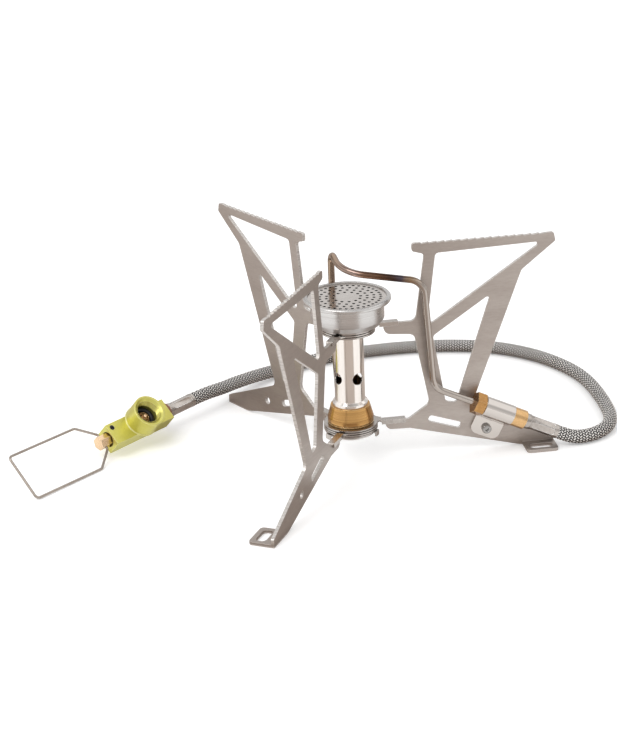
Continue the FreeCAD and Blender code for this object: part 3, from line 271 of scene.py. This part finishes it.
# Each wire is painted bright along its middle as a highlight and darker at its sides as shade, broken up by noise.
# The braid is painted dark as shade at the strands' edges and where they pass under others.
wire_tone = blend(tree, count(tree, "MULTIPLY", wires, spread(tree, patch.outputs[0], 0.3, 0.7, 0.7, 1.0)),
                  tint(braid_shaded), tint(braid_highlight))
filled = spread(tree, bead, 0.22, 0.62)
tree.links.new(blend(tree, filled, tint(braid_gap_shade), wire_tone), shader.inputs["Base Color"])
tree.links.new(spread(tree, filled, 0.0, 1.0, 0.7, 0.24), shader.inputs["Roughness"])
bump = node(tree, "ShaderNodeBump", {"Strength": 1.0, "Distance": 0.00015, "Height": height})
tree.links.new(bump.outputs[0], shader.inputs["Normal"])
hose.data.materials.append(braid)
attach(hose, "stove_frame")
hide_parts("hose")


# ---------------------------------------------------------------- ferrules
# Stainless sleeves crimped over the hose's ends, each with six long rounded die marks.
# The right one butts on the connector's brass collar, the left one on the valve's washer.

ferrule_length = 0.0166
ferrule_collar = 0.00345
ferrule_collar_length = 0.0024
ferrule_waist = 0.0032
ferrule_collar_slope = 0.0003
ferrule_end_land = 0.0004
die_marks = 6
die_mark_length = 0.0112
die_mark_width = 0.0027
die_mark_depth = 0.00042
die_mark_middle = 0.0092
die_depth = 0.002
die_mark_bevel = die_mark_width * 0.42
ferrule_rounding = 0.00012
ferrule_sides = 96
ferrule_colour = (186, 179, 173)
ferrule_shaded = (156, 148, 141)
ferrule_highlight = (246, 245, 243)
right_ferrule_start = 0.0133
left_ferrule_start = 0.0365
connector_place = Vector((0.06565, -0.00535, 0.01983))
connector_axis = Vector((0.90259, 0, -0.43051))
valve_front = Vector((-0.10743, 0.02842, 0.00831))
valve_axis = Vector((-0.77667, -0.62894, -0.0349))
socket_axis = Vector((0.40937, -0.54608, 0.73091))


def only(thing):
    """Makes one object the active and only selected one."""
    for other in list(bpy.context.selected_objects):
        other.select_set(False)
    if thing is not None:
        thing.select_set(True)
        bpy.context.view_layer.objects.active = thing


def pick(thing, kind, test):
    """Selects the vertices, edges or faces of an object in edit mode that pass a test of their middle."""
    bpy.ops.object.mode_set(mode="OBJECT")
    mesh = thing.data
    for group in (mesh.vertices, mesh.edges, mesh.polygons):
        group.foreach_set("select", [False] * len(group))
    chosen = {"VERT": mesh.vertices, "EDGE": mesh.edges, "FACE": mesh.polygons}[kind]
    for element in chosen:
        if kind == "VERT":
            middle = element.co
        elif kind == "EDGE":
            middle = (mesh.vertices[element.vertices[0]].co + mesh.vertices[element.vertices[1]].co) / 2
        else:
            middle = element.center
        element.select = bool(test(middle, element))
    bpy.ops.object.mode_set(mode="EDIT")
    bpy.ops.mesh.select_mode(type=kind)


def finish_with(thing, kind, **settings):
    """Adds a modifier and applies it."""
    only(thing)
    modifier = thing.modifiers.new(kind.lower(), kind)
    for name, value in settings.items():
        setattr(modifier, name, value)
    bpy.ops.object.modifier_apply(modifier=modifier.name)


def apply_place():
    """Puts the active object's place, turn and scale into its mesh."""
    bpy.ops.object.transform_apply(location=True, rotation=True, scale=True)


def smooth_below(thing, degrees):
    """Shades a piece smooth, apart from edges sharper than an angle."""
    only(thing)
    bpy.ops.object.shade_smooth_by_angle(angle=math.radians(degrees))


def settle(thing, place, z_way, x_way=None):
    """Turns a piece made about Z into place and puts that place into its mesh."""
    z = z_way.normalized()
    x = (x_way or Vector((0, 0, 1)).cross(z)).normalized()
    x = (x - z * x.dot(z)).normalized()
    turn = Matrix((x, z.cross(x), z)).transposed().to_4x4()
    thing.matrix_world = Matrix.Translation(place) @ turn
    only(thing)
    apply_place()


def part_of_frame(thing, finish, slot, *nodes):
    """Gives a piece of the stove's frame its finish, joins it to the frame's body, and hides the CAD nodes it stands
    for.
    """
    thing.data.materials.clear()
    thing.data.materials.append(finish)
    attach(thing, "stove_frame")
    if nodes:
        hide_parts(*nodes)


def new_group(name, inputs, outputs):
    """An empty node group with named sockets: (group, its input node, its output node)."""
    group = bpy.data.node_groups.new(name, "ShaderNodeTree")
    kinds = {"value": "NodeSocketFloat", "vector": "NodeSocketVector"}
    for label, kind, start in inputs:
        socket = group.interface.new_socket(label, in_out="INPUT", socket_type=kinds[kind])
        if start is not None:
            socket.default_value = start
    for label, kind in outputs:
        group.interface.new_socket(label, in_out="OUTPUT", socket_type=kinds[kind])
    return group, group.nodes.new("NodeGroupInput"), group.nodes.new("NodeGroupOutput")


# Metal's fine grain: long scratches along one way of the vector, over soft clouds.
grain_group, given, result = new_group(
    "metal_grain", [("Vector", "vector", None), ("Fineness", "value", 1.0)],
    [("Grain", "value"), ("Cloud", "value")])
grain_scale = count(grain_group, "MULTIPLY", given.outputs["Fineness"], 900.0)
fine = node(grain_group, "ShaderNodeTexNoise",
            {"Vector": given.outputs["Vector"], "Scale": grain_scale, "Detail": 5.0, "Roughness": 0.7})
cloud_scale = count(grain_group, "MULTIPLY", given.outputs["Fineness"], 90.0)
cloud = node(grain_group, "ShaderNodeTexNoise",
             {"Vector": given.outputs["Vector"], "Scale": cloud_scale, "Detail": 4.0, "Roughness": 0.55})
grain_group.links.new(fine.outputs[0], result.inputs["Grain"])
grain_group.links.new(cloud.outputs[0], result.inputs["Cloud"])

# Painted edge highlight: a mask where the surface turns, broken up by noise, and the softened normal.
edge_group, given, result = new_group(
    "edge_highlight", [("Vector", "vector", None), ("Radius", "value", 0.0003)],
    [("Edge", "value"), ("Normal", "vector")])
soft = node(edge_group, "ShaderNodeBevel", {"Radius": given.outputs["Radius"]}, samples=6)
flat = node(edge_group, "ShaderNodeNewGeometry")
turned_by = node(edge_group, "ShaderNodeVectorMath", (soft.outputs[0], flat.outputs["Normal"]),
                 operation="DOT_PRODUCT")
breaks = node(edge_group, "ShaderNodeTexNoise",
              {"Vector": given.outputs["Vector"], "Scale": 500.0, "Detail": 3.0})
mask = count(edge_group, "MULTIPLY", spread(edge_group, turned_by.outputs["Value"], 0.995, 0.86),
             spread(edge_group, breaks.outputs[0], 0.3, 0.6, 0.35, 1.0))
edge_group.links.new(mask, result.inputs["Edge"])
edge_group.links.new(soft.outputs[0], result.inputs["Normal"])


def use_group(tree, group, **inputs):
    """A node group placed in a material, with its own values: its outputs."""
    made = node(tree, "ShaderNodeGroup")
    made.node_tree = group
    for name, value in inputs.items():
        if isinstance(value, bpy.types.NodeSocket):
            tree.links.new(value, made.inputs[name])
        else:
            made.inputs[name].default_value = value
    return made.outputs


# Painted shade in the gaps between the hub's rings: a dark line on their upright faces at each gap.
plate_spacing = 0.001
gap_reach = (0.0126, 0.0122)
gap_width = (0.28, 0.16)
gap_shade = (22, 19, 17)


def axis_distance(tree, parts):
    """How far a place is from the burner's axis, from its separate X and Y."""
    return count(tree, "SQRT", count(tree, "ADD", count(tree, "MULTIPLY", parts[0], parts[0]),
                                     count(tree, "MULTIPLY", parts[1], parts[1])))


def metal(name, colour, roughness, stretch=(1, 1, 1), deeper=None, highlight_colour=None, bump=0.15, edge=0.0003,
          spread_by=0.06, turned=False, metallic=1.0, fineness=1.0, gap_level=None, shaded_walls=False):
    """A grained metal: colour clouds towards deeper, edges painted a lighter colour as a highlight, grain in bump and
    roughness.

    With a gap level, upright faces are painted dark as shade in the gaps between plates that lie a millimetre apart.
    With shaded walls, every upright face is painted dark as shade.
    """
    finish, tree, shader = new_finish(name, None, metallic)
    deeper = deeper or tuple(c * 0.86 for c in colour)
    highlight_colour = highlight_colour or tuple(min(255, c * 1.22) for c in colour)
    where = node(tree, "ShaderNodeTexCoord").outputs["Object"]
    vector = where
    if turned:
        # Lathe marks run round the Z axis: only the distance from it and the height count.
        parts = node(tree, "ShaderNodeSeparateXYZ", (where,)).outputs
        lathe = (axis_distance(tree, parts), count(tree, "MULTIPLY", parts[0], 0.02), parts[2])
        vector = node(tree, "ShaderNodeCombineXYZ", lathe).outputs[0]
    vector = node(tree, "ShaderNodeMapping", {"Vector": vector, "Scale": stretch}).outputs[0]
    grain = use_group(tree, grain_group, Vector=vector, Fineness=fineness)
    painted_edge = use_group(tree, edge_group, Vector=where, Radius=edge)
    clouds = count(tree, "ADD", count(tree, "MULTIPLY", grain["Cloud"], 0.6),
                   count(tree, "MULTIPLY", grain["Grain"], 0.4))
    tone = blend(tree, spread(tree, clouds, 0.35, 0.62), tint(deeper), tint(colour))
    # Edges take a painted highlight.
    surface = blend(tree, painted_edge["Edge"], tone, tint(highlight_colour))
    # Upright faces are painted dark as shade: in the gaps between plates, or on every wall.
    if gap_level is not None or shaded_walls:
        way = node(tree, "ShaderNodeSeparateXYZ", (node(tree, "ShaderNodeTexCoord").outputs["Normal"],)).outputs[2]
        shade_share = spread(tree, count(tree, "ABSOLUTE", way), 0.8, 0.5)
        if gap_level is not None:
            place = node(tree, "ShaderNodeSeparateXYZ", (where,)).outputs
            plates = count(tree, "MULTIPLY", place[2], 1 / plate_spacing)
            share = count(tree, "FRACT", count(tree, "SUBTRACT", plates, gap_level - 0.5))
            off_line = count(tree, "ABSOLUTE", count(tree, "SUBTRACT", share, 0.5))
            on_rings = spread(tree, axis_distance(tree, place), *gap_reach)
            shade_share = count(tree, "MULTIPLY", count(tree, "MULTIPLY", shade_share, on_rings),
                         spread(tree, off_line, *gap_width))
        surface = blend(tree, shade_share, surface, tint(gap_shade))
    tree.links.new(surface, shader.inputs["Base Color"])
    tree.links.new(spread(tree, clouds, 0.3, 0.7, roughness + spread_by, roughness - spread_by),
                   shader.inputs["Roughness"])
    relief = node(tree, "ShaderNodeBump", {"Strength": bump, "Distance": 0.00006, "Height": grain["Grain"],
                                           "Normal": painted_edge["Normal"]})
    tree.links.new(relief.outputs[0], shader.inputs["Normal"])
    return finish


def crimped_sleeve(name):
    """A turned sleeve with a collar, rounded at its ends, with six die marks pressed in."""
    only(None)
    bpy.ops.mesh.primitive_cylinder_add(vertices=ferrule_sides, radius=ferrule_waist, depth=ferrule_length,
                                        location=(0, 0, ferrule_length / 2), end_fill_type="NGON")
    sleeve = bpy.context.object
    sleeve.name = name
    apply_place()
    bpy.ops.object.mode_set(mode="EDIT")
    for height in (ferrule_collar_length, ferrule_collar_length + ferrule_collar_slope):
        bpy.ops.mesh.select_all(action="SELECT")
        bpy.ops.mesh.bisect(plane_co=(0, 0, height), plane_no=(0, 0, 1))
    pick(sleeve, "VERT", lambda middle, vertex: middle.z < ferrule_collar_length + 0.00001)
    bpy.ops.transform.resize(value=(ferrule_collar / ferrule_waist, ferrule_collar / ferrule_waist, 1),
                             center_override=(0, 0, 0))
    for level in (0.0, ferrule_length):
        pick(sleeve, "FACE", lambda middle, face: abs(middle.z - level) < 1e-6 and abs(face.normal.z) > 0.5)
        bpy.ops.mesh.inset(thickness=ferrule_end_land)
    bpy.ops.object.mode_set(mode="OBJECT")
    marks = []
    for turn in range(die_marks):
        only(None)
        bpy.ops.mesh.primitive_cube_add(size=1.0)
        mark = bpy.context.object
        mark.scale = (die_depth, die_mark_width, die_mark_length)
        apply_place()
        pick(mark, "EDGE", lambda middle, edge: abs(middle.y) > die_mark_width * 0.45
             and abs(middle.z) > die_mark_length * 0.45)
        bpy.ops.mesh.bevel(offset=die_mark_bevel, segments=8)
        bpy.ops.object.mode_set(mode="OBJECT")
        angle = 2 * math.pi * turn / die_marks
        reach = ferrule_waist - die_mark_depth + die_depth / 2
        mark.location = (reach * math.cos(angle), reach * math.sin(angle), die_mark_middle)
        mark.rotation_euler = (0, 0, angle)
        apply_place()
        marks.append(mark)
    only(marks[0])
    for mark in marks:
        mark.select_set(True)
    bpy.ops.object.join()
    cutter = bpy.context.object
    finish_with(sleeve, "BOOLEAN", operation="DIFFERENCE", object=cutter, solver="EXACT")
    bpy.data.objects.remove(cutter)
    finish_with(sleeve, "BEVEL", width=ferrule_rounding, segments=3, limit_method="ANGLE",
                angle_limit=math.radians(28))
    smooth_below(sleeve, 40)
    return sleeve


# The sleeves' edges take a painted highlight.
ferrule_steel = metal("crimped_steel", ferrule_colour, 0.13, highlight_colour=ferrule_highlight, deeper=ferrule_shaded,
                      bump=0.06, spread_by=0.03, edge=0.0003)
right_ferrule = crimped_sleeve("right_ferrule")
settle(right_ferrule, connector_place + connector_axis * right_ferrule_start, connector_axis)
part_of_frame(right_ferrule, ferrule_steel, "ferrule_steel", "hose_ferrule_right")
left_ferrule = crimped_sleeve("left_ferrule")
settle(left_ferrule, valve_front - valve_axis * left_ferrule_start, -valve_axis, socket_axis)
part_of_frame(left_ferrule, ferrule_steel, "ferrule_steel", "hose_ferrule_left")


# ---------------------------------------------------------------- legs
# Three legs stamped from 1.5 mm stainless plate, with windows, a toothed top bar and a bent foot.
# Their faces are satin, and their sheared edges are painted brighter as a highlight, with fine upright tear marks.

leg_face = (178, 169, 162)
leg_deep = (167, 157, 150)
leg_cut_highlight = (232, 228, 224)
leg_torn = (176, 170, 164)
leg_edge_highlight = (226, 222, 218)
foot_top = (0.0015, 0.0025)


def dress(finish, *names):
    """Gives CAD nodes a finish."""
    for name in names:
        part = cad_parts[name]
        if not part.material_slots:
            part.data.materials.append(finish)
        for slot in part.material_slots:
            slot.material = finish


def leg_finish(name, azimuth):
    """Satin plate whose sheared edges, at right angles to the plate, are painted brighter as a highlight."""
    finish, tree, shader = new_finish(name, None)
    coordinates = node(tree, "ShaderNodeTexCoord").outputs
    where = coordinates["Object"]
    plate_way = (-math.sin(azimuth), math.cos(azimuth), 0)
    facing = node(tree, "ShaderNodeVectorMath", (coordinates["Normal"], plate_way), operation="DOT_PRODUCT")
    sheared = spread(tree, count(tree, "ABSOLUTE", facing.outputs["Value"]), 0.75, 0.35)
    height = node(tree, "ShaderNodeSeparateXYZ", (where,)).outputs[2]
    sheared = count(tree, "MULTIPLY", sheared, spread(tree, height, *foot_top))
    turned = node(tree, "ShaderNodeMapping", {"Vector": where, "Rotation": (0, 0, -azimuth)}).outputs[0]
    rolled = node(tree, "ShaderNodeMapping", {"Vector": turned, "Scale": (0.16, 1.0, 1.0)}).outputs[0]
    grain = use_group(tree, grain_group, Vector=rolled, Fineness=1.6)
    torn = node(tree, "ShaderNodeMapping", {"Vector": turned, "Scale": (1.0, 0.08, 1.0)}).outputs[0]
    tears = use_group(tree, grain_group, Vector=torn, Fineness=2.2)
    painted_edge = use_group(tree, edge_group, Vector=where, Radius=0.00025)
    clouds = count(tree, "ADD", count(tree, "MULTIPLY", grain["Cloud"], 0.5),
                   count(tree, "MULTIPLY", grain["Grain"], 0.5))
    face = blend(tree, spread(tree, clouds, 0.38, 0.62), tint(leg_deep), tint(leg_face))
    # The sheared edges are painted bright as a highlight, broken by their tear marks.
    side = blend(tree, spread(tree, tears["Grain"], 0.35, 0.65), tint(leg_torn), tint(leg_cut_highlight))
    tone = blend(tree, sheared, face, side)
    # Corners take a painted edge highlight.
    tree.links.new(blend(tree, count(tree, "MULTIPLY", painted_edge["Edge"], 0.8), tone, tint(leg_edge_highlight)),
                   shader.inputs["Base Color"])
    tree.links.new(spread(tree, clouds, 0.3, 0.7, 0.5, 0.38), shader.inputs["Roughness"])
    relief = count(tree, "ADD", count(tree, "MULTIPLY", grain["Grain"], count(tree, "SUBTRACT", 1.0, sheared)),
                   count(tree, "MULTIPLY", tears["Grain"], count(tree, "MULTIPLY", sheared, 2.0)))
    bump = node(tree, "ShaderNodeBump", {"Strength": 0.22, "Distance": 0.00006, "Height": relief,
                                         "Normal": painted_edge["Normal"]})
    tree.links.new(bump.outputs[0], shader.inputs["Normal"])
    return finish


for side, azimuth in (("right", 0), ("front", 240), ("rear", 120)):
    dress(leg_finish("leg_steel_" + side, math.radians(azimuth)), "leg_" + side)


# ---------------------------------------------------------------- hub
# Thin steel rings turn about the burner's tube and foot, each folded over one leg's arm.
# A pressed washer holds the upper three, a lock plate with turned-down lugs the lower three.

for level, gap, holder in (("upper", 0.1, "upper_clip"), ("lower", 0.2, "lock_plate")):
    # The rings' upright faces are painted dark as shade at the gaps between them, and their edges take a painted
    # highlight.
    ring_steel = metal(level + "_ring_steel", (196, 189, 183), 0.24, highlight_colour=(236, 233, 229), edge=0.0002,
                       gap_level=gap)
    dress(ring_steel, level + "_ring_right", level + "_ring_front", level + "_ring_rear", holder)
cap_metal = metal("cap_aluminium", (226, 223, 220), 0.3, stretch=(1.0, 0.3, 1.0), turned=True, bump=0.3,
                  deeper=(204, 200, 196), highlight_colour=(244, 243, 241))
dress(cap_metal, "base_cap")


# ---------------------------------------------------------------- burner
# A turned aluminium cup with a rolled rim holds a pierced steel plate.
# It sits on a polished steel mixing tube with four air holes, flared onto the brass jet body.

cup_metal = metal("turned_aluminium", (208, 206, 204), 0.28, stretch=(1.0, 0.3, 1.0), turned=True, bump=0.3,
                  deeper=(172, 168, 165), highlight_colour=(240, 239, 237), fineness=1.2)
dress(cup_metal, "burner_cup")
# The plate's upright faces, such as the walls of its holes, are painted dark as shade.
plate_metal = metal("pierced_plate", (224, 218, 213), 0.17, bump=0.05, deeper=(208, 201, 195), edge=0.00008,
                    spread_by=0.03, shaded_walls=True)
dress(plate_metal, "burner_plate")
tube_metal = metal("polished_tube", (232, 226, 220), 0.14, stretch=(1.0, 1.0, 0.1), bump=0.06,
                   deeper=(220, 212, 205), edge=0.0002, spread_by=0.03)
dress(tube_metal, "mixing_tube")


# ---------------------------------------------------------------- jet body
# The brass foot of the burner: a turned cone with a groove, and the gas jet screwed into its top.

brass = metal("turned_brass", (220, 172, 108), 0.24, stretch=(1.0, 0.3, 1.0), turned=True, bump=0.6,
              deeper=(122, 84, 44), highlight_colour=(248, 226, 178), spread_by=0.1)
dress(brass, "jet_body")
jet_brass = metal("jet_brass", (180, 138, 84), 0.3, deeper=(120, 84, 46))
dress(jet_brass, "gas_jet")


# ---------------------------------------------------------------- preheat tube
# A 3 mm stainless tube that loops over the flame, tinted copper, bronze and blue by its heat.

heat_reach = (-0.006, 0.034)
heat_tints = ((0.0, (152, 132, 112)), (0.2, (146, 126, 118)), (0.34, (118, 92, 76)), (0.5, (90, 64, 48)),
              (0.62, (70, 52, 43)), (0.72, (80, 72, 80)), (0.82, (146, 122, 98)), (1.0, (172, 163, 155)))


def colour_ramp(tree, value, stops):
    """Colours along a value from 0 to 1, from stops of (place, linear colour)."""
    made = node(tree, "ShaderNodeValToRGB", (value,))
    elements = made.color_ramp.elements
    elements[0].position, elements[0].color = stops[0]
    elements[1].position, elements[1].color = stops[-1]
    for place, colour in stops[1:-1]:
        elements.new(place).color = colour
    return made.outputs[0]


preheat, tree, shader = new_finish("heat_tinted_steel", None)
where = node(tree, "ShaderNodeTexCoord").outputs["Object"]
parts = node(tree, "ShaderNodeSeparateXYZ", (where,)).outputs
grain = use_group(tree, grain_group, Vector=where, Fineness=1.0)
# The tints follow the tube's reach to the right, from over the flame to where it stays cold.
heat = count(tree, "ADD", parts[0], spread(tree, grain["Cloud"], 0.3, 0.7, -0.0018, 0.0018))
tinted = colour_ramp(tree, spread(tree, heat, *heat_reach), [(place, tint(colour)) for place, colour in heat_tints])
tree.links.new(tinted, shader.inputs["Base Color"])
tree.links.new(spread(tree, grain["Cloud"], 0.3, 0.7, 0.22, 0.1), shader.inputs["Roughness"])
bump = node(tree, "ShaderNodeBump", {"Strength": 0.12, "Distance": 0.00005, "Height": grain["Grain"]})
tree.links.new(bump.outputs[0], shader.inputs["Normal"])
dress(preheat, "preheat_tube")


# ---------------------------------------------------------------- connector
# A brass swivel body under a bright steel strap that is screwed flat to the right leg.
# A brass nut clamps the preheat tube to it.

nut_brass = metal("nut_brass", (190, 146, 94), 0.18, deeper=(152, 110, 64), highlight_colour=(236, 206, 156))
dress(nut_brass, "gland_nut", "tube_olive")
swivel_brass = metal("swivel_brass", (225, 186, 136), 0.2, deeper=(200, 160, 110), highlight_colour=(244, 222, 182))
dress(swivel_brass, "swivel_body")
strap_steel = metal("strap_steel", (200, 193, 187), 0.07, stretch=(0.3, 1, 1), highlight_colour=(240, 237, 233), bump=0.06,
                    deeper=(200, 193, 187), spread_by=0.03)
dress(strap_steel, "hose_clip")
screw_steel = metal("screw_steel", (196, 194, 192), 0.16, highlight_colour=(240, 238, 236), deeper=(150, 147, 144), edge=0.0002)
dress(screw_steel, "clip_screw", "clip_nut")


# ---------------------------------------------------------------- valve
# A block of yellow-green anodised aluminium with a round boss, threaded inside for the canister.
# A rubber ring seals against the canister, and a brass pin opens it.

socket_setback = 0.0183
socket_floor_height = 0.0059
gasket_radius = 0.00435
gasket_thickness = 0.0022
gasket_flattening = 0.9
gasket_lift = 0.001
gas_holes = 4
gas_hole_radius = 0.00045
gas_hole_reach = 0.0016
gas_hole_middle = 0.0022
gas_hole_depth = 0.003
seat_profile = ((0, 0), (0.0028, 0), (0.0028, 0.0016), (0.0025, 0.0019), (0.0022, 0.0019), (0.0021, 0.0013),
                (0.0018, 0.0013), (0.0017, 0.0023), (0.0015, 0.0024), (0, 0.0024))
pin_profile = ((0, 0.002), (0.00085, 0.002), (0.00085, 0.0031), (0.0007, 0.0033), (0, 0.00335))
thread_pitch = 0.000907
thread_turns = 4
thread_start = 0.0093
thread_profile = ((0.00558, -0.00043), (0.00516, 0.0), (0.00558, 0.00043))

green = metal("green_anodised", (211, 206, 112), 0.32, deeper=(198, 191, 93), highlight_colour=(236, 232, 176), bump=0.1,
              spread_by=0.05, metallic=0.6, edge=0.0004)
dress(green, "valve_block")
rubber = metal("black_rubber", (30, 28, 27), 0.5, metallic=0.0, deeper=(20, 19, 18), highlight_colour=(52, 50, 48), bump=0.3)
dress(rubber, "spindle_o_ring")
pin_brass = metal("pin_brass", (198, 156, 104), 0.2, deeper=(150, 108, 66), highlight_colour=(236, 206, 160))
black_steel = metal("black_steel", (58, 56, 56), 0.35, deeper=(40, 39, 39), highlight_colour=(110, 108, 106))
dress(black_steel, "set_screw")
fibre = metal("washer_fibre", (138, 92, 66), 0.6, metallic=0.0, deeper=(112, 72, 50), highlight_colour=(160, 116, 88), bump=0.4)
dress(fibre, "sealing_washer")
spindle_brass = metal("spindle_brass", (232, 202, 166), 0.26, deeper=(214, 180, 142), highlight_colour=(246, 226, 198))
dress(spindle_brass, "valve_spindle")

# The gasket is a thick round ring that lies on the socket's floor.
socket_foot = valve_front - valve_axis * socket_setback
socket_floor = socket_foot + socket_axis * socket_floor_height
only(None)
bpy.ops.mesh.primitive_torus_add(major_segments=96, minor_segments=24, major_radius=gasket_radius,
                                 minor_radius=gasket_thickness / 2)
gasket = bpy.context.object
gasket.name = "round_gasket"
gasket.scale = (1, 1, gasket_flattening)
apply_place()
bpy.ops.object.shade_smooth()
settle(gasket, socket_floor + socket_axis * gasket_lift, socket_axis)
part_of_frame(gasket, rubber, "black_rubber", "canister_gasket")


def close_and_face_out():
    """Merges the active mesh's doubled points and points its faces outwards."""
    bpy.ops.object.mode_set(mode="EDIT")
    bpy.ops.mesh.select_all(action="SELECT")
    bpy.ops.mesh.remove_doubles(threshold=1e-7)
    bpy.ops.mesh.normals_make_consistent(inside=False)
    bpy.ops.object.mode_set(mode="OBJECT")


def turned_piece(name, profile, steps=64):
    """A solid turned from a profile of (radius, height) points."""
    mesh = bpy.data.meshes.new(name)
    mesh.from_pydata([(reach, 0, height) for reach, height in profile],
                     [(step, step + 1) for step in range(len(profile) - 1)], [])
    piece = bpy.data.objects.new(name, mesh)
    bpy.context.scene.collection.objects.link(piece)
    finish_with(piece, "SCREW", axis="Z", angle=math.radians(360), steps=steps, render_steps=steps,
                use_merge_vertices=True, merge_threshold=1e-6, use_smooth_shade=False)
    close_and_face_out()
    return piece


# The pin's brass seat has a stepped face with four gas holes round the pin.
seat = turned_piece("depressor_seat", seat_profile)
for turn in range(gas_holes):
    only(None)
    bpy.ops.mesh.primitive_cylinder_add(vertices=24, radius=gas_hole_radius, depth=gas_hole_depth)
    drill = bpy.context.object
    angle = math.radians(45 + 360 / gas_holes * turn)
    drill.location = (gas_hole_reach * math.cos(angle), gas_hole_reach * math.sin(angle), gas_hole_middle)
    apply_place()
    finish_with(seat, "BOOLEAN", operation="DIFFERENCE", object=drill, solver="EXACT")
    bpy.data.objects.remove(drill)
smooth_below(seat, 30)
settle(seat, socket_floor, socket_axis)
part_of_frame(seat, pin_brass, "brass", "pin_depressor")
pin_copper = metal("pin_copper", (244, 206, 168), 0.2, deeper=(232, 186, 144))
pin = turned_piece("depressor_pin", pin_profile, 32)
smooth_below(pin, 30)
settle(pin, socket_floor, socket_axis)
part_of_frame(pin, pin_copper, "brass")

# The socket's thread, cut at 28 turns to the inch. Its profile goes on a circle of three points.
only(None)
bpy.ops.mesh.primitive_circle_add(vertices=3, radius=0.0004, fill_type="NOTHING", location=(0, 0, 0))
thread = bpy.context.object
thread.name = "socket_thread"
bpy.ops.object.mode_set(mode="OBJECT")
for vertex, (reach, rise) in zip(thread.data.vertices, thread_profile):
    vertex.co = (reach, 0, rise)
finish_with(thread, "SCREW", axis="Z", angle=math.radians(360), screw_offset=thread_pitch,
            iterations=thread_turns, steps=64, render_steps=64, use_merge_vertices=False, use_smooth_shade=False)
close_and_face_out()
settle(thread, socket_foot + socket_axis * thread_start, socket_axis)
# The thread is a little darker than the block, as painted shade in its grooves, and its crests take a painted
# highlight.
thread_green = metal("thread_green", (204, 196, 106), 0.22, deeper=(176, 167, 79), highlight_colour=(250, 247, 212),
                     metallic=0.6, edge=0.00012)
part_of_frame(thread, thread_green, "valve_green")


# ---------------------------------------------------------------- handle
# A loop of 1.2 mm spring wire, sprung into the cross hole of the spindle's head.

wire_steel = metal("spring_wire", (172, 162, 153), 0.28, deeper=(150, 139, 130))
dress(wire_steel, "wire_handle")


# ---------------------------------------------------------------- studio
# A white floor, pale surroundings in soft bands, and one large soft lamp above and to the left.
# Pale grey cards on the floor are seen only by the metal's reflections.

floor_width = 12
floor_glow = 0.2
card_level = 0.0006
card_reaches = (0.03, 1.6)
card_steps = 24
sky_strength = 1.3
sky_bands = ((0.0, 0.8), (0.3, 0.56), (0.48, 0.6), (0.58, 1.0), (0.8, 1.0), (0.9, 0.45), (1.0, 0.42))
lamp_width = 0.8
lamp_power = 6.0
lamp_place = (-0.6, -0.5, 1.2)
lamp_target = (0, 0, 0.05)

only(None)
bpy.ops.mesh.primitive_plane_add(size=floor_width, location=(0, 0, 0))
floor = bpy.context.object
floor.name = "floor"
paper, tree, shader = new_finish("white_paper", 0.9, 0.0, (247, 247, 247))
path = node(tree, "ShaderNodeLightPath").outputs
seen = count(tree, "MAXIMUM", count(tree, "MAXIMUM", path["Is Camera Ray"], path["Is Glossy Ray"]),
             path["Is Transmission Ray"])
shader.inputs["Emission Color"].default_value = (1, 1, 1, 1)
tree.links.new(count(tree, "MULTIPLY", seen, floor_glow), shader.inputs["Emission Strength"])
floor.data.materials.append(paper)
floor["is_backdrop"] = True

# Cards lie round the stove as wide fans, apart from two gaps that its metal reflects as bright windows.
card_finish, tree, shader = new_finish("card_paper", 0.9, 0.0, (196, 185, 178))
for name, first, last in (("card_front", 227, 296), ("card_back", 354, 514)):
    card_mesh = bpy.data.meshes.new(name)
    azimuths = [math.radians(first + (last - first) * step / card_steps) for step in range(card_steps + 1)]
    card_mesh.from_pydata(
        [(reach * math.cos(azimuth), reach * math.sin(azimuth), card_level)
         for reach in card_reaches for azimuth in azimuths], [],
        [(step, step + 1, step + card_steps + 2, step + card_steps + 1) for step in range(card_steps)])
    card = bpy.data.objects.new(name, card_mesh)
    bpy.context.scene.collection.objects.link(card)
    card_mesh.materials.append(card_finish)
    card.visible_camera = card.visible_diffuse = card.visible_shadow = card.visible_transmission = False
    card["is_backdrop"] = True

world = bpy.data.worlds.new("studio")
bpy.context.scene.world = world
world.use_nodes = True
tree = world.node_tree
surroundings = tree.nodes["Background"]
surroundings.inputs["Strength"].default_value = sky_strength
# The bands follow the height of the view: bright half way up, dimmer overhead, and about white in their mean.
way = node(tree, "ShaderNodeSeparateXYZ", (node(tree, "ShaderNodeTexCoord").outputs["Generated"],)).outputs
bands = colour_ramp(tree, way[2], [(place, (level, level, level, 1)) for place, level in sky_bands])
tree.links.new(bands, surroundings.inputs["Color"])

lamp_data = bpy.data.lights.new("softbox", "AREA")
lamp_data.shape = "SQUARE"
lamp_data.size = lamp_width
lamp_data.energy = lamp_power
lamp = bpy.data.objects.new("softbox", lamp_data)
bpy.context.scene.collection.objects.link(lamp)
lamp.location = lamp_place
lamp.rotation_mode = "QUATERNION"
lamp.rotation_quaternion = (Vector(lamp_target) - lamp.location).to_track_quat("-Z", "Y")

bpy.context.scene.view_settings.view_transform = "Standard"

low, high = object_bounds()
